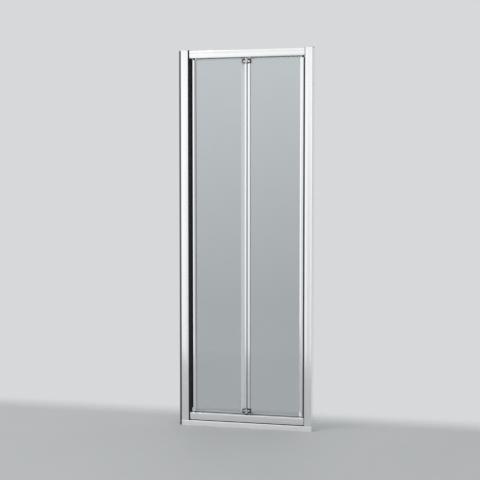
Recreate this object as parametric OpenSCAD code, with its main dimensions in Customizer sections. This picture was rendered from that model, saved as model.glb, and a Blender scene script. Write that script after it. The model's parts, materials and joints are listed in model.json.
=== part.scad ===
// Bifold shower door: a chromed frame with two framed glass leaves that fold inwards.
// X runs along the opening, -Y is the room side, +Y the shower side, Z is up.
// The origin is at the bottom centre of the overall box.

/* [Frame] */
// Width from the outer edge of one jamb to the outer edge of the other
frame_w = 652; // [600:1:900]
// Height of the jambs above the floor
frame_h = 1850; // [1700:5:2000]
// Depth of the jambs and the sill
frame_d = 60; // [60:1:66]
// How far the left wall profile stands out of its jamb
adjust_left = 10; // [0:1:15]
// How far the right wall profile stands out of its jamb
adjust_right = 0; // [0:1:15]
// Width of a jamb as seen from the front
jamb_face = 36; // [35:1:44]
// Height of the sill
sill_h = 24; // [20:1:32]

/* [Rails] */
// Height of the header rail and of the bottom rail
rail_h = 34; // [32:1:42]
// How far the front of the rails sits behind the front of the jambs
rail_set_back = 10; // [9:0.5:12]
// Height of the black gasket between the sill and the bottom rail
gasket_h = 3.5; // [2.5:0.5:8]
// How far the top of the header rail stays below the top of the jambs
header_drop = 5.5; // [4:0.5:10]

/* [Leaves] */
// Thickness of the glass
glass_t = 5; // [4:0.5:6]
// Gap between each jamb lining and the outer edge of its leaf
side_gap = 9.5; // [9:0.5:12]
// Gap between the two leaves
centre_gap = 4.8; // [4.4:0.2:6]
// Width of the outer stiles as seen from the front
stile_w = 17; // [17:0.5:22]
// Width of the pale strip on the glass beside the centre bead of the pivot leaf
strip_w = 19; // [14:0.5:24]

/* [Hinges] */
// Distance of the hinge axis in front of the centre beads
hinge_out = 12; // [11:0.5:13]
// Height of a hinge block
hinge_h = 24; // [22:1:30]
// Half width of a hinge block
hinge_half_w = 21; // [20:0.5:24]

/* [Fixing] */
// Diameter of the holes for the wall screws
wall_hole_d = 5.5; // [4:0.5:7]
// Height of the lowest wall screw hole
wall_hole_low = 175; // [100:5:250]

/* [Hidden] */
$fn = 48;
fine = 360;

// Frame section: y = 0 lies at half the depth of the jambs
half_w = frame_w / 2;
half_d = frame_d / 2;
door_x = (adjust_left - adjust_right) / 2;
jamb_wall = 2.5;
jamb_web = 2;
jamb_in = half_w - jamb_face;
edge_r = 2.4;
wall_t = 1.6;
wall_leg = 26;
slide_gap = 0.3;
cap_t = 2;
port_r = 2;
port_out = 3.4;
jamb_port_x = jamb_in + 5;
jamb_port_y = half_d - 8;
lining_t = 2.5;
clear_x = jamb_in - lining_t;
lock_x = half_w - 5.5;
lock_z = [230, frame_h / 2, frame_h - 230];
wall_hole_step = (frame_h - 2 * wall_hole_low) / 3;

// Rails and tracks
rail_wall = 2;
rail_front = -half_d + rail_set_back;
track_y = 15;
track_w = 16;
track_front = track_y - track_w / 2;
track_back = track_y + track_w / 2;
rail_back = track_back + rail_wall;
bow_r = 100;
bottom_z0 = sill_h + gasket_h;
bottom_z1 = bottom_z0 + rail_h;
header_z1 = frame_h - header_drop;
header_z0 = header_z1 - rail_h;
hinge_mid_z = (header_z0 + bottom_z1) / 2;
port_a = [rail_front + 1.5 * rail_wall + 3, 5];
port_b = [track_front - rail_wall - 3, rail_h - 5];
corner_cut = 3;

// Leaves, given for the left one: the right one is its mirror image
leaf_out = clear_x - side_gap;
stile_wall = 1.6;
stile_y0 = track_y - 11;
stile_y1 = track_y + 11;
stile_z0 = bottom_z1 + 2.5;
stile_z1 = header_z0 - 6.5;
leaf_mid_z = (stile_z0 + stile_z1) / 2;
stile_in = leaf_out - stile_w;
chamber_w = 9;
chamber_mid = leaf_out - stile_wall - chamber_w / 2;
pivot_x = chamber_mid;
pocket_half = glass_t / 2 + 1.8;
pocket_out = leaf_out - 2 * stile_wall - chamber_w;
nose = 6;
bead_w = 10.2;
bead_in = centre_gap / 2;
bead_out = bead_in + bead_w;
bead_y0 = 0;
bead_pocket = 5;
bead_r = 1.8;
pocket_y0 = track_y - pocket_half;
pocket_y1 = track_y + pocket_half;
strip_t = 1.5;
strip_y1 = track_y - glass_t / 2 - 0.02;
strip_x1 = bead_out + 0.7;
bulb_r = centre_gap - 1.4;
glass_out = pocket_out - 1.4;
glass_in = bead_out - bead_pocket + 1.2;
glass_z0 = stile_z0 + 2.5;
glass_z1 = stile_z1;
play = 0.1;

// Pivots and rollers
pin_r = 3;
run = 0.05;
boss_r = 5.5;
boss_h = 5.5;
plug_flange = 1.5;
plug_depth = 15;
washer_t = 1.3;
block_x0 = pivot_x - 15.5;
block_x1 = clear_x - 0.2;
block_gap = 1.6;
block_face = stile_z1 + plug_flange + boss_h + block_gap;
roller_r = 7.5;
roller_h = 7;
roller_pin_r = 2.5;
roller_z0 = stile_z1 + plug_flange + boss_h + 2.5;
block_screw_x = pivot_x - 11;

// Hinges
axis_y = bead_y0 - hinge_out;
hinge_top = header_z0 - 5;
hinge_low = hinge_top - hinge_h;
hinge_face = axis_y - 0.2;
knuckle_r = 4.4;
knuckle_gap = 0.5;
body_in = knuckle_r + knuckle_gap;
hinge_pin_r = 2;
insert_out = 16.7;
insert_z0 = hinge_low + 4.1;
insert_h = 7.6;
insert_t = 2;
eye_h = 6.4;
web_x = 7.6;
apex_h = 4;
foot_w = 5;
hinge_screw_x = bead_out - 3.9;
hinge_screw_z = insert_z0 + insert_h / 2;

// ---- helpers ----

// Everything is drawn about the middle of the opening and then put at its place in the row
module at_door() { translate([door_x, 0, 0]) children(); }

// The thing and its mirror image across the middle of the opening
module both_sides() {
    children();
    mirror([1, 0, 0]) children();
}

// The thing at the top and its mirror image at the bottom, about the given height
module both_ends(z) {
    children();
    translate([0, 0, 2 * z]) mirror([0, 0, 1]) children();
}

// What is cut off a square corner at the origin to round it
module corner(r) {
    difference() {
        square([r, r]);
        translate([r, r]) circle(r = r);
    }
}

// Cuts for the corners of a rectangle from [0, 0] to [w, h], near and far side in y
module corners(w, h, near, far) {
    corner(near);
    translate([w, 0]) mirror([1, 0]) corner(near);
    translate([0, h]) mirror([0, 1]) corner(far);
    translate([w, h]) mirror([1, 0]) mirror([0, 1]) corner(far);
}

// A straight bar along X whose section is drawn in Y, Z
module along_x(x0, x1) {
    translate([x0, 0, 0]) rotate([90, 0, 90]) linear_extrude(height = x1 - x0) children();
}

// A round rod along Y
module rod_y(x, y0, y1, z, r) {
    translate([x, y1, z]) rotate([90, 0, 0]) cylinder(r = r, h = y1 - y0);
}

// A round rod along X
module rod_x(x0, x1, y, z, r) {
    translate([x0, y, z]) rotate([0, 90, 0]) cylinder(r = r, h = x1 - x0);
}

// A round rod along Z
module rod_z(x, y, z0, z1, r) { translate([x, y, z0]) cylinder(r = r, h = z1 - z0); }

// ---- frame ----

// Section of the left jamb: a channel open towards the wall, with two screw ports
module jamb_outline() {
    difference() {
        translate([-half_w, -half_d]) square([jamb_face, frame_d]);
        translate([-half_w, -half_d]) corners(jamb_face, frame_d, edge_r, edge_r);
    }
}

module jamb_section() {
    inner_w = jamb_face - jamb_web;
    difference() {
        union() {
            difference() {
                jamb_outline();
                translate([-half_w - 1, -half_d + jamb_wall])
                    square([inner_w + 1, frame_d - 2 * jamb_wall]);
            }
            for (y = [-jamb_port_y, jamb_port_y]) translate([-jamb_port_x, y]) circle(r = port_out);
        }
        for (y = [-jamb_port_y, jamb_port_y]) translate([-jamb_port_x, y]) circle(r = port_r);
    }
}

// Rods along X on the axes of the screw ports: the bottom rail is the header rail turned over
module at_ports(x0, x1, r) {
    for (p = [port_a, port_b]) {
        rod_x(x0, x1, p[0], header_z0 + p[1], r);
        rod_x(x0, x1, p[0], bottom_z1 - p[1], r);
    }
}

// Countersink and hole of a lock screw in the back leg
module lock_screw(head_r, shank_r, depth) {
    translate([-lock_x, half_d, 0]) rotate([90, 0, 0]) {
        cylinder(r1 = head_r, r2 = shank_r, h = head_r - shank_r);
        cylinder(r = shank_r, h = depth);
    }
}

module jamb_shape() {
    difference() {
        translate([0, 0, sill_h]) linear_extrude(height = frame_h - cap_t - sill_h) jamb_section();
        at_ports(-jamb_in - jamb_web - 1, -jamb_in + 1, port_r + 0.2);
        for (z = lock_z) translate([0, 0, z]) lock_screw(3.7, 2.1, jamb_wall + 1);
    }
}

module jamb_left() { color("gainsboro") at_door() jamb_shape(); }

module jamb_right() { color("gainsboro") at_door() mirror([1, 0, 0]) jamb_shape(); }

// Cover of the open top of a jamb, with two tabs that grip inside it
module jamb_cap() {
    translate([0, 0, frame_h - cap_t]) linear_extrude(height = cap_t) jamb_outline();
    for (y = [-13, 10])
        translate([-jamb_in - jamb_web - 12.2, y, frame_h - cap_t - 10]) cube([12, 3, 10.5]);
}

module jamb_caps() { color("silver") at_door() both_sides() jamb_cap(); }

// Channel screwed to the wall, on which the jamb slides sideways to take up the wall's lean
module wall_profile(adjust) {
    outer_y = half_d - jamb_wall - slide_gap;
    x0 = -half_w - adjust;
    difference() {
        translate([x0, -outer_y, 0]) cube([wall_leg, 2 * outer_y, frame_h - cap_t - 1]);
        translate([x0 + wall_t, -outer_y + wall_t, -1])
            cube([wall_leg, 2 * (outer_y - wall_t), frame_h]);
        for (i = [0:3])
            rod_x(x0 - 1, x0 + wall_t + 1, 0, wall_hole_low + i * wall_hole_step, wall_hole_d / 2);
        for (z = lock_z) rod_y(-lock_x, outer_y - wall_t - 1, outer_y + 1, z, 1.92);
    }
}

module wall_profile_left() { color("dimgray") at_door() wall_profile(adjust_left); }

module wall_profile_right() {
    color("dimgray") at_door() mirror([1, 0, 0]) wall_profile(adjust_right);
}

module jamb_lock_screws() {
    color("silver") at_door() both_sides() for (z = lock_z) translate([0, 0, z]) lock_screw(3.5, 1.9, 11);
}

// Section of the sill: two closed chambers
module sill_section() {
    difference() {
        translate([-half_d, 0]) square([frame_d, sill_h]);
        translate([-half_d, sill_h]) mirror([0, 1]) corner(edge_r);
        translate([half_d, sill_h]) mirror([0, 1]) mirror([1, 0]) corner(edge_r);
        for (y = [-half_d + rail_wall, rail_wall / 2])
            translate([y, rail_wall]) square([half_d - 1.5 * rail_wall, sill_h - 2 * rail_wall]);
    }
}

// Room for the foot of a wall profile at the left end of the sill
module sill_notch(adjust) {
    w = wall_leg - adjust + 1;
    translate([-half_w - 1, -half_d + rail_wall, -1]) cube([w + 1, frame_d - 2 * rail_wall, sill_h + 2]);
}

module sill() {
    color("gainsboro") at_door() difference() {
        along_x(-half_w, half_w) sill_section();
        sill_notch(adjust_left);
        mirror([1, 0, 0]) sill_notch(adjust_right);
        both_sides() for (y = [-jamb_port_y, jamb_port_y]) {
            rod_z(-jamb_port_x, y, -1, rail_wall + 1, 4.2);
            rod_z(-jamb_port_x, y, sill_h - rail_wall - 1, sill_h + 1, 2.2);
        }
    }
}

module sill_screws() {
    under = sill_h - rail_wall;
    color("silver") at_door() both_sides() for (y = [-jamb_port_y, jamb_port_y]) {
        rod_z(-jamb_port_x, y, under - 2.4, under, 3.5);
        rod_z(-jamb_port_x, y, under - 0.5, sill_h + 14, 1.98);
    }
}

module sill_gasket() {
    color("black") at_door()
        translate([-clear_x + 0.5, rail_front + 4, sill_h])
            cube([2 * clear_x - 1, rail_back - rail_front - 7, gasket_h]);
}

// Section of a rail from z = 0: a closed front chamber and a track channel open at the bottom
module rail_section() {
    mid = rail_h / 2;
    difference() {
        union() {
            difference() {
                intersection() {
                    translate([rail_front, 0]) square([rail_back - rail_front, rail_h]);
                    translate([rail_front + bow_r, mid]) circle(r = bow_r, $fn = fine);
                }
                translate([rail_front + 2 * rail_wall, rail_wall])
                    square([track_front - rail_front - 3 * rail_wall, rail_h - 2 * rail_wall]);
                translate([track_front, -1]) square([track_w, rail_h - rail_wall + 1]);
            }
            for (p = [port_a, port_b]) translate(p) circle(r = port_out);
        }
        for (p = [port_a, port_b]) translate(p) circle(r = port_r);
    }
}

module block_screw_hole(z, r) { rod_y(-block_screw_x, track_back - 1, rail_back + 1, z, r); }

module header_rail() {
    color("whitesmoke") at_door() difference() {
        translate([0, 0, header_z0]) along_x(-clear_x, clear_x) rail_section();
        block_screw_hole(header_z0 + rail_h / 2, 2.2);
    }
}

// The bottom rail is the same section turned over, with its lower corners cut off and drain slots
module bottom_rail() {
    color("whitesmoke") at_door() difference() {
        translate([0, 0, bottom_z1]) mirror([0, 0, 1]) along_x(-clear_x, clear_x) rail_section();
        both_sides() translate([-clear_x, rail_back + 1, bottom_z0]) rotate([90, 0, 0])
            linear_extrude(height = rail_back - rail_front + 2)
                polygon([[-1, -1], [corner_cut + 1, -1], [-1, corner_cut + 1]]);
        block_screw_hole(bottom_z1 - rail_h / 2, 2.2);
        for (x = [-150, 0, 150]) translate([x - 10, track_back - 1, bottom_z0 + rail_wall])
            cube([20, rail_wall + 2, 4]);
    }
}

module rail_screws() {
    color("silver") at_door() both_sides() {
        at_ports(-jamb_in - jamb_web - 2.4, -jamb_in - jamb_web, 3);
        at_ports(-jamb_in - jamb_web - 0.5, -clear_x + 16, port_r - 0.02);
    }
}

// Strip on the inner face of a jamb, behind the ends of the rails
module lining_shape() {
    difference() {
        translate([-jamb_in, -half_d + 1, sill_h + 0.2])
            cube([lining_t, frame_d - 2, frame_h - cap_t - sill_h - 1]);
        at_ports(-jamb_in - 1, -clear_x + 1, port_r + 0.2);
    }
}

module pivot_lining() { color("black") at_door() lining_shape(); }

module closing_lining() { color("darkslategray") at_door() mirror([1, 0, 0]) lining_shape(); }

// Magnetic strip on the closing jamb that meets the strip of the leading stile
module closing_seal() {
    color("dimgray") at_door()
        translate([clear_x - 3, track_y - 5, stile_z0]) cube([3, 10, stile_z1 - stile_z0]);
}

// Block in the track that carries a pivot pin: it runs from its bored face to the floor of the track
module pivot_block(face_z, floor_z, screw_z) {
    low = min(face_z, floor_z);
    inward = sign(floor_z - face_z);
    difference() {
        translate([-block_x1, track_front + 0.2, low])
            cube([block_x1 - block_x0, track_w - 0.4, abs(floor_z - face_z)]);
        rod_z(-pivot_x, track_y, min(face_z - inward, face_z + 20 * inward),
            max(face_z - inward, face_z + 20 * inward), pin_r + run);
        rod_y(-block_screw_x, track_y - 4, track_back + 1, screw_z, 2.02);
    }
}

module pivot_block_top() {
    color("dimgray") at_door() pivot_block(block_face, header_z1 - rail_wall, header_z0 + rail_h / 2);
}

module pivot_block_bottom() {
    color("dimgray") at_door()
        pivot_block(2 * leaf_mid_z - block_face, bottom_z0 + rail_wall, bottom_z1 - rail_h / 2);
}

module pivot_block_screws() {
    color("silver") at_door() for (z = [header_z0 + rail_h / 2, bottom_z1 - rail_h / 2]) {
        rod_y(-block_screw_x, rail_back, rail_back + 2.2, z, 3.6);
        rod_y(-block_screw_x, track_y - 3, rail_back + 0.5, z, 2);
    }
}

module thrust_washers() {
    z = block_face - play;
    color("goldenrod") at_door() both_ends(leaf_mid_z) difference() {
        rod_z(-pivot_x, track_y, z - washer_t, z, 6.5);
        rod_z(-pivot_x, track_y, z - washer_t - 1, z + 1, pin_r + run);
    }
}

// Rubber stops that end the run of the rollers
module track_stops() {
    color("black") at_door() both_ends(leaf_mid_z)
        translate([clear_x - 4, track_front + 0.2, stile_z1 + 8]) cube([3.8, track_w - 0.4, 10]);
}

// ---- leaves ----

module leaf_glass() {
    translate([-glass_out, track_y - glass_t / 2, glass_z0])
        cube([glass_out - glass_in, glass_t, glass_z1 - glass_z0]);
}

module pivot_glass() { color([0.8, 0.88, 0.9, 0.4]) at_door() leaf_glass(); }

module leading_glass() { color([0.8, 0.88, 0.9, 0.4]) at_door() mirror([1, 0, 0]) leaf_glass(); }

// Section of an outer stile: a chamber for the end plugs and a pocket for the glass
module outer_stile_section() {
    depth = stile_y1 - stile_y0;
    difference() {
        translate([-leaf_out, stile_y0]) square([stile_w, depth]);
        translate([-leaf_out, stile_y0]) corner(edge_r);
        translate([-leaf_out, stile_y1]) mirror([0, 1]) corner(edge_r);
        polygon([[-stile_in - nose, stile_y0 - 1], [-stile_in + 1, stile_y0 - 1],
            [-stile_in + 1, stile_y0 + 4.6], [-stile_in - nose, stile_y0]]);
        polygon([[-stile_in - nose, stile_y1 + 1], [-stile_in + 1, stile_y1 + 1],
            [-stile_in + 1, stile_y1 - 4.6], [-stile_in - nose, stile_y1]]);
        translate([-chamber_mid - chamber_w / 2, stile_y0 + stile_wall])
            square([chamber_w, depth - 2 * stile_wall]);
        translate([-pocket_out, track_y - pocket_half])
            square([pocket_out - stile_in + 1, 2 * pocket_half]);
    }
}

module outer_stile_shape() {
    translate([0, 0, stile_z0]) linear_extrude(height = stile_z1 - stile_z0) outer_stile_section();
}

module pivot_stile() { color("gainsboro") at_door() outer_stile_shape(); }

module leading_stile() { color("gainsboro") at_door() mirror([1, 0, 0]) outer_stile_shape(); }

// Section of a centre stile: a bead that stands proud, with a pocket for the glass and three chambers
module hinge_stile_section() {
    depth = stile_y1 - bead_y0;
    inner_w = bead_w - 2 * stile_wall;
    difference() {
        translate([-bead_out, bead_y0]) square([bead_w, depth]);
        translate([-bead_out, bead_y0]) corners(bead_w, depth, bead_r, 2);
        translate([-bead_out - 1, pocket_y0]) square([bead_pocket + 1, 2 * pocket_half]);
        translate([-bead_out + stile_wall, bead_y0 + 2 * stile_wall])
            square([inner_w, pocket_y0 - bead_y0 - 3 * stile_wall]);
        translate([-bead_out + bead_pocket + stile_wall, pocket_y0])
            square([inner_w - bead_pocket, 2 * pocket_half]);
        translate([-bead_out + stile_wall, pocket_y1 + stile_wall])
            square([inner_w, stile_y1 - pocket_y1 - 2 * stile_wall]);
    }
}

module hinge_stile_shape() {
    difference() {
        translate([0, 0, stile_z0]) linear_extrude(height = stile_z1 - stile_z0) hinge_stile_section();
        both_ends(hinge_mid_z) rod_y(-hinge_screw_x, bead_y0 - 1, bead_y0 + 5, hinge_screw_z, 1.92);
    }
}

module pivot_hinge_stile() { color("gainsboro") at_door() hinge_stile_shape(); }

module leading_hinge_stile() { color("gainsboro") at_door() mirror([1, 0, 0]) hinge_stile_shape(); }

// Rubber channels that hold the two upright edges of a glass pane
module glazing_shape() {
    half = pocket_half - play;
    h = stile_z1 - glass_z0 - 1;
    difference() {
        translate([-pocket_out + play, track_y - half, glass_z0])
            cube([pocket_out - stile_in + 1.4, 2 * half, h]);
        translate([-glass_out - 0.02, track_y - glass_t / 2 - 0.02, glass_z0 - 1])
            cube([20, glass_t + 0.04, h + 2]);
    }
    difference() {
        translate([-bead_out - 0.6, track_y - half, glass_z0])
            cube([bead_pocket + 0.6 - play, 2 * half, h]);
        translate([-glass_in - 40 + 0.02, track_y - glass_t / 2 - 0.02, glass_z0 - 1])
            cube([40, glass_t + 0.04, h + 2]);
    }
}

module pivot_glazing() { color("dimgray") at_door() glazing_shape(); }

module leading_glazing() { color("dimgray") at_door() mirror([1, 0, 0]) glazing_shape(); }

// Pale strip on the front of the glass beside the centre bead, between the top and the drip seal
module pivot_cover_strip() {
    z0 = glass_z0 + 6.1;
    color("lightgray") at_door() translate([-strip_x1 - strip_w, strip_y1 - strip_t, z0])
        cube([strip_w, strip_t, stile_z1 - 1.6 - z0]);
}

// Seal on the top edge of the glass, with two short legs that hold it
module top_seal_shape() {
    half = pocket_half + 0.2;
    x0 = -stile_in + 1.5;
    w = stile_in - bead_out - 3;
    difference() {
        translate([x0, track_y - half, glass_z1 - 1.5]) cube([w, 2 * half, header_z0 - glass_z1 + 0.5]);
        translate([x0 - 1, track_y - glass_t / 2 - 0.02, glass_z1 - 2])
            cube([w + 2, glass_t + 0.04, 2.02]);
    }
}

module pivot_top_seal() { color("gray") at_door() top_seal_shape(); }

module leading_top_seal() { color("gray") at_door() mirror([1, 0, 0]) top_seal_shape(); }

// Seal on the bottom edge of the glass, with a drip lip towards the shower
module drip_seal_shape() {
    half = pocket_half + 0.2;
    x0 = -stile_in + 1.5;
    w = stile_in - bead_out - 3;
    z0 = bottom_z1 + 1;
    difference() {
        union() {
            translate([x0, track_y - half, z0]) cube([w, 2 * half, glass_z0 - z0 + 6]);
            translate([x0, track_y + half - 1, z0]) cube([w, 5, 1.5]);
        }
        translate([x0 - 1, track_y - glass_t / 2 - 0.02, glass_z0 - 0.02])
            cube([w + 2, glass_t + 0.04, 10]);
    }
}

module pivot_drip_seal() { color("gray") at_door() drip_seal_shape(); }

module leading_drip_seal() { color("gray") at_door() mirror([1, 0, 0]) drip_seal_shape(); }

// Top plug of an outer stile: fills the chamber, covers it and carries the pin
module stile_plug(r) {
    w = chamber_w - 2 * play;
    d = stile_y1 - stile_y0 - 2 * stile_wall - 2 * play;
    difference() {
        union() {
            translate([-chamber_mid - w / 2, track_y - d / 2, stile_z1 - plug_depth])
                cube([w, d, plug_depth + 0.5]);
            translate([-leaf_out + 0.4, stile_y0 + 0.4, stile_z1])
                cube([leaf_out - pocket_out - 0.4, stile_y1 - stile_y0 - 0.8, plug_flange]);
            rod_z(-pivot_x, track_y, stile_z1 + plug_flange - 0.5, stile_z1 + plug_flange + boss_h, boss_r);
        }
        rod_z(-pivot_x, track_y, stile_z1 - 12, stile_z1 + 20, r + 0.02);
    }
}

module pivot_plugs() { color("black") at_door() both_ends(leaf_mid_z) stile_plug(pin_r); }

module leading_plugs() {
    color("black") at_door() mirror([1, 0, 0]) both_ends(leaf_mid_z) stile_plug(roller_pin_r);
}

module pivot_pins() {
    color("silver") at_door() both_ends(leaf_mid_z)
        rod_z(-pivot_x, track_y, stile_z1 - 11.9, block_face + 16, pin_r);
}

// Pin of a guide roller, with a collar below the roller and a head above it
module roller_pin() {
    rod_z(pivot_x, track_y, stile_z1 - 11.9, roller_z0 + roller_h + 1, roller_pin_r);
    rod_z(pivot_x, track_y, roller_z0 - 2.4, roller_z0 - 0.3, 4.5);
    rod_z(pivot_x, track_y, roller_z0 + roller_h + 0.3, roller_z0 + roller_h + 1.8, 4);
}

module roller_pins() { color("silver") at_door() both_ends(leaf_mid_z) roller_pin(); }

// Guide roller with a bore that runs on its pin
module roller_shape() {
    difference() {
        rod_z(pivot_x, track_y, roller_z0, roller_z0 + roller_h, roller_r);
        rod_z(pivot_x, track_y, roller_z0 - 1, roller_z0 + roller_h + 1, roller_pin_r + run);
    }
}

module roller_top() { color("ivory") at_door() roller_shape(); }

module roller_bottom() {
    color("ivory") at_door() translate([0, 0, 2 * leaf_mid_z]) mirror([0, 0, 1]) roller_shape();
}

// Cap on each end of a centre stile, with a plug in its front chamber
module hinge_stile_cap() {
    w = bead_w - 2 * stile_wall - 2 * play;
    d = pocket_y0 - bead_y0 - 3 * stile_wall - 2 * play;
    translate([-bead_out + 0.4, bead_y0 + 1.2, stile_z1]) cube([bead_w - 0.8, stile_y1 - bead_y0 - 2, plug_flange]);
    translate([-bead_out + stile_wall + play, bead_y0 + 2 * stile_wall + play, stile_z1 - 5]) cube([w, d, 5.5]);
}

module pivot_hinge_caps() { color("black") at_door() both_ends(leaf_mid_z) hinge_stile_cap(); }

module leading_hinge_caps() {
    color("black") at_door() mirror([1, 0, 0]) both_ends(leaf_mid_z) hinge_stile_cap();
}

// Soft seal that closes the gap between the two centre beads
module centre_seal() {
    color("dimgray") at_door() translate([0, 0, stile_z0]) linear_extrude(height = stile_z1 - stile_z0) {
        translate([-bead_in, track_y - 2]) square([1.2, 10]);
        intersection() {
            translate([-bead_in + 1, track_y - 2]) square([10, 10]);
            translate([-bead_in + 1, track_y + 3]) circle(r = bulb_r);
        }
    }
}

// Strip on the leading stile that meets the magnetic strip of the jamb
module leading_magnet() {
    color("dimgray") at_door() translate([leaf_out, track_y - 4, stile_z0]) cube([2.5, 8, stile_z1 - stile_z0]);
}

// ---- hinges ----

// Front outline of the left half of a top hinge block, in X, Z
module hinge_outline() {
    difference() {
        polygon([[-hinge_half_w, hinge_low], [-body_in, hinge_low], [-body_in, hinge_top],
            [-hinge_half_w + 8, hinge_top - 2.5], [-hinge_half_w, hinge_top - 6]]);
        translate([-hinge_half_w, hinge_low]) corner(2);
    }
}

// Moulded half of a top hinge: it sits on the bead and reaches back beside it to the front of the glass pocket
module hinge_body_shape() {
    back = pocket_y0;
    difference() {
        union() {
            translate([0, bead_y0 - play / 2, 0]) rotate([90, 0, 0])
                linear_extrude(height = bead_y0 - play / 2 - hinge_face) hinge_outline();
            translate([-bead_out - play - foot_w, bead_y0 - 2, hinge_low + 2])
                cube([foot_w, back - bead_y0 + 2, hinge_h - 9]);
        }
        translate([-insert_out - play, hinge_face - 1, insert_z0 - play])
            cube([insert_out, insert_t + 1 + play, insert_h + 2 * play]);
        translate([-web_x - play, hinge_face - 1, hinge_low - 1])
            cube([web_x, insert_t + 1 + play, hinge_h + 2]);
        rod_y(-hinge_screw_x, hinge_face, hinge_face + 4.6, hinge_screw_z, 3.1);
        rod_y(-hinge_screw_x, hinge_face, bead_y0 + 1, hinge_screw_z, 1.95);
    }
}

module hinge_body_top_left() { color("black") at_door() hinge_body_shape(); }

module hinge_body_bottom_left() {
    color("black") at_door() translate([0, 0, 2 * hinge_mid_z]) mirror([0, 0, 1]) hinge_body_shape();
}

module hinge_body_top_right() { color("black") at_door() mirror([1, 0, 0]) hinge_body_shape(); }

module hinge_body_bottom_right() {
    color("black") at_door() mirror([1, 0, 0])
        translate([0, 0, 2 * hinge_mid_z]) mirror([0, 0, 1]) hinge_body_shape();
}

// Bright plate in the face of a hinge half, with an upright web beside the knuckles
module insert_plate() {
    translate([-insert_out, hinge_face - 0.2, insert_z0])
        cube([insert_out - body_in, insert_t + 0.2, insert_h]);
    translate([-web_x, hinge_face - 0.1, hinge_low]) cube([web_x - body_in, insert_t + 0.1, hinge_h]);
}

// A knuckle between two heights, with the arm that joins it to its web
module knuckle(z0, z1) {
    rod_z(0, axis_y, z0, z1, knuckle_r);
    translate([-body_in - 0.5, hinge_face + 0.2, z0]) cube([body_in + 0.5, insert_t - 0.4, z1 - z0]);
}

module hinge_knuckles_left() {
    color("gainsboro") at_door() both_ends(hinge_mid_z) difference() {
        union() {
            insert_plate();
            knuckle(hinge_low, hinge_low + eye_h);
            knuckle(hinge_top - eye_h, hinge_top);
        }
        rod_z(0, axis_y, hinge_low - 1, hinge_top + 1, hinge_pin_r + 0.02);
    }
}

module hinge_knuckles_right() {
    color("gainsboro") at_door() both_ends(hinge_mid_z) mirror([1, 0, 0]) difference() {
        union() {
            translate([-insert_out, hinge_face - 0.2, insert_z0])
                cube([insert_out - body_in, insert_t + 0.2, insert_h]);
            knuckle(hinge_low + eye_h + 0.3, hinge_top - eye_h - 0.3);
            translate([-web_x, hinge_face - 0.1, insert_z0])
                cube([web_x - body_in, insert_t + 0.1, hinge_top - eye_h - 0.3 - insert_z0]);
        }
        rod_z(0, axis_y, hinge_low - 1, hinge_top + 1, hinge_pin_r + run);
    }
}

module hinge_pins() {
    color("silver") at_door() both_ends(hinge_mid_z)
        rod_z(0, axis_y, hinge_low + 0.3, hinge_top + 2, hinge_pin_r);
}

// Rounded black cap on the end of a hinge pin
module hinge_pin_caps() {
    color("black") at_door() both_ends(hinge_mid_z) translate([0, axis_y, hinge_top]) difference() {
        union() {
            cylinder(r = knuckle_r, h = apex_h - 1.5);
            translate([0, 0, apex_h - 1.5]) cylinder(r1 = knuckle_r, r2 = knuckle_r - 1.5, h = 1.5);
        }
        translate([0, 0, -1]) cylinder(r = hinge_pin_r + 0.02, h = 3.1);
    }
}

module hinge_screws() {
    both_ends(hinge_mid_z) {
        rod_y(-hinge_screw_x, hinge_face + insert_t + 0.3, hinge_face + 4.5, hinge_screw_z, 2.9);
        rod_y(-hinge_screw_x, hinge_face + 4, bead_y0 + 6, hinge_screw_z, 1.9);
    }
}

module hinge_screws_left() { color("silver") at_door() hinge_screws(); }

module hinge_screws_right() { color("silver") at_door() mirror([1, 0, 0]) hinge_screws(); }

wall_profile_left();
wall_profile_right();
jamb_left();
jamb_right();
jamb_caps();
jamb_lock_screws();
sill();
sill_gasket();
sill_screws();
bottom_rail();
header_rail();
rail_screws();
pivot_lining();
closing_lining();
closing_seal();
pivot_block_top();
pivot_block_bottom();
pivot_block_screws();
thrust_washers();
track_stops();
pivot_glass();
pivot_stile();
pivot_hinge_stile();
pivot_glazing();
pivot_cover_strip();
pivot_top_seal();
pivot_drip_seal();
pivot_plugs();
pivot_pins();
pivot_hinge_caps();
centre_seal();
hinge_body_top_left();
hinge_body_bottom_left();
hinge_knuckles_left();
hinge_pins();
hinge_pin_caps();
hinge_screws_left();
leading_glass();
leading_stile();
leading_hinge_stile();
leading_glazing();
leading_top_seal();
leading_drip_seal();
leading_plugs();
roller_pins();
leading_hinge_caps();
hinge_body_top_right();
hinge_body_bottom_right();
hinge_knuckles_right();
hinge_screws_right();
leading_magnet();
roller_top();
roller_bottom();
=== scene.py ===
"""Dressed model of a bifold shower door: a bright frame and two framed glass leaves.

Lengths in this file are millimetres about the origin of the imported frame, and become metres where a
surface is put into a mesh. X runs along the opening, -Y is the room side and Z is up.
"""

import json
import logging
import math
from dataclasses import dataclass, field, replace
from enum import Enum
from typing import Sequence

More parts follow.
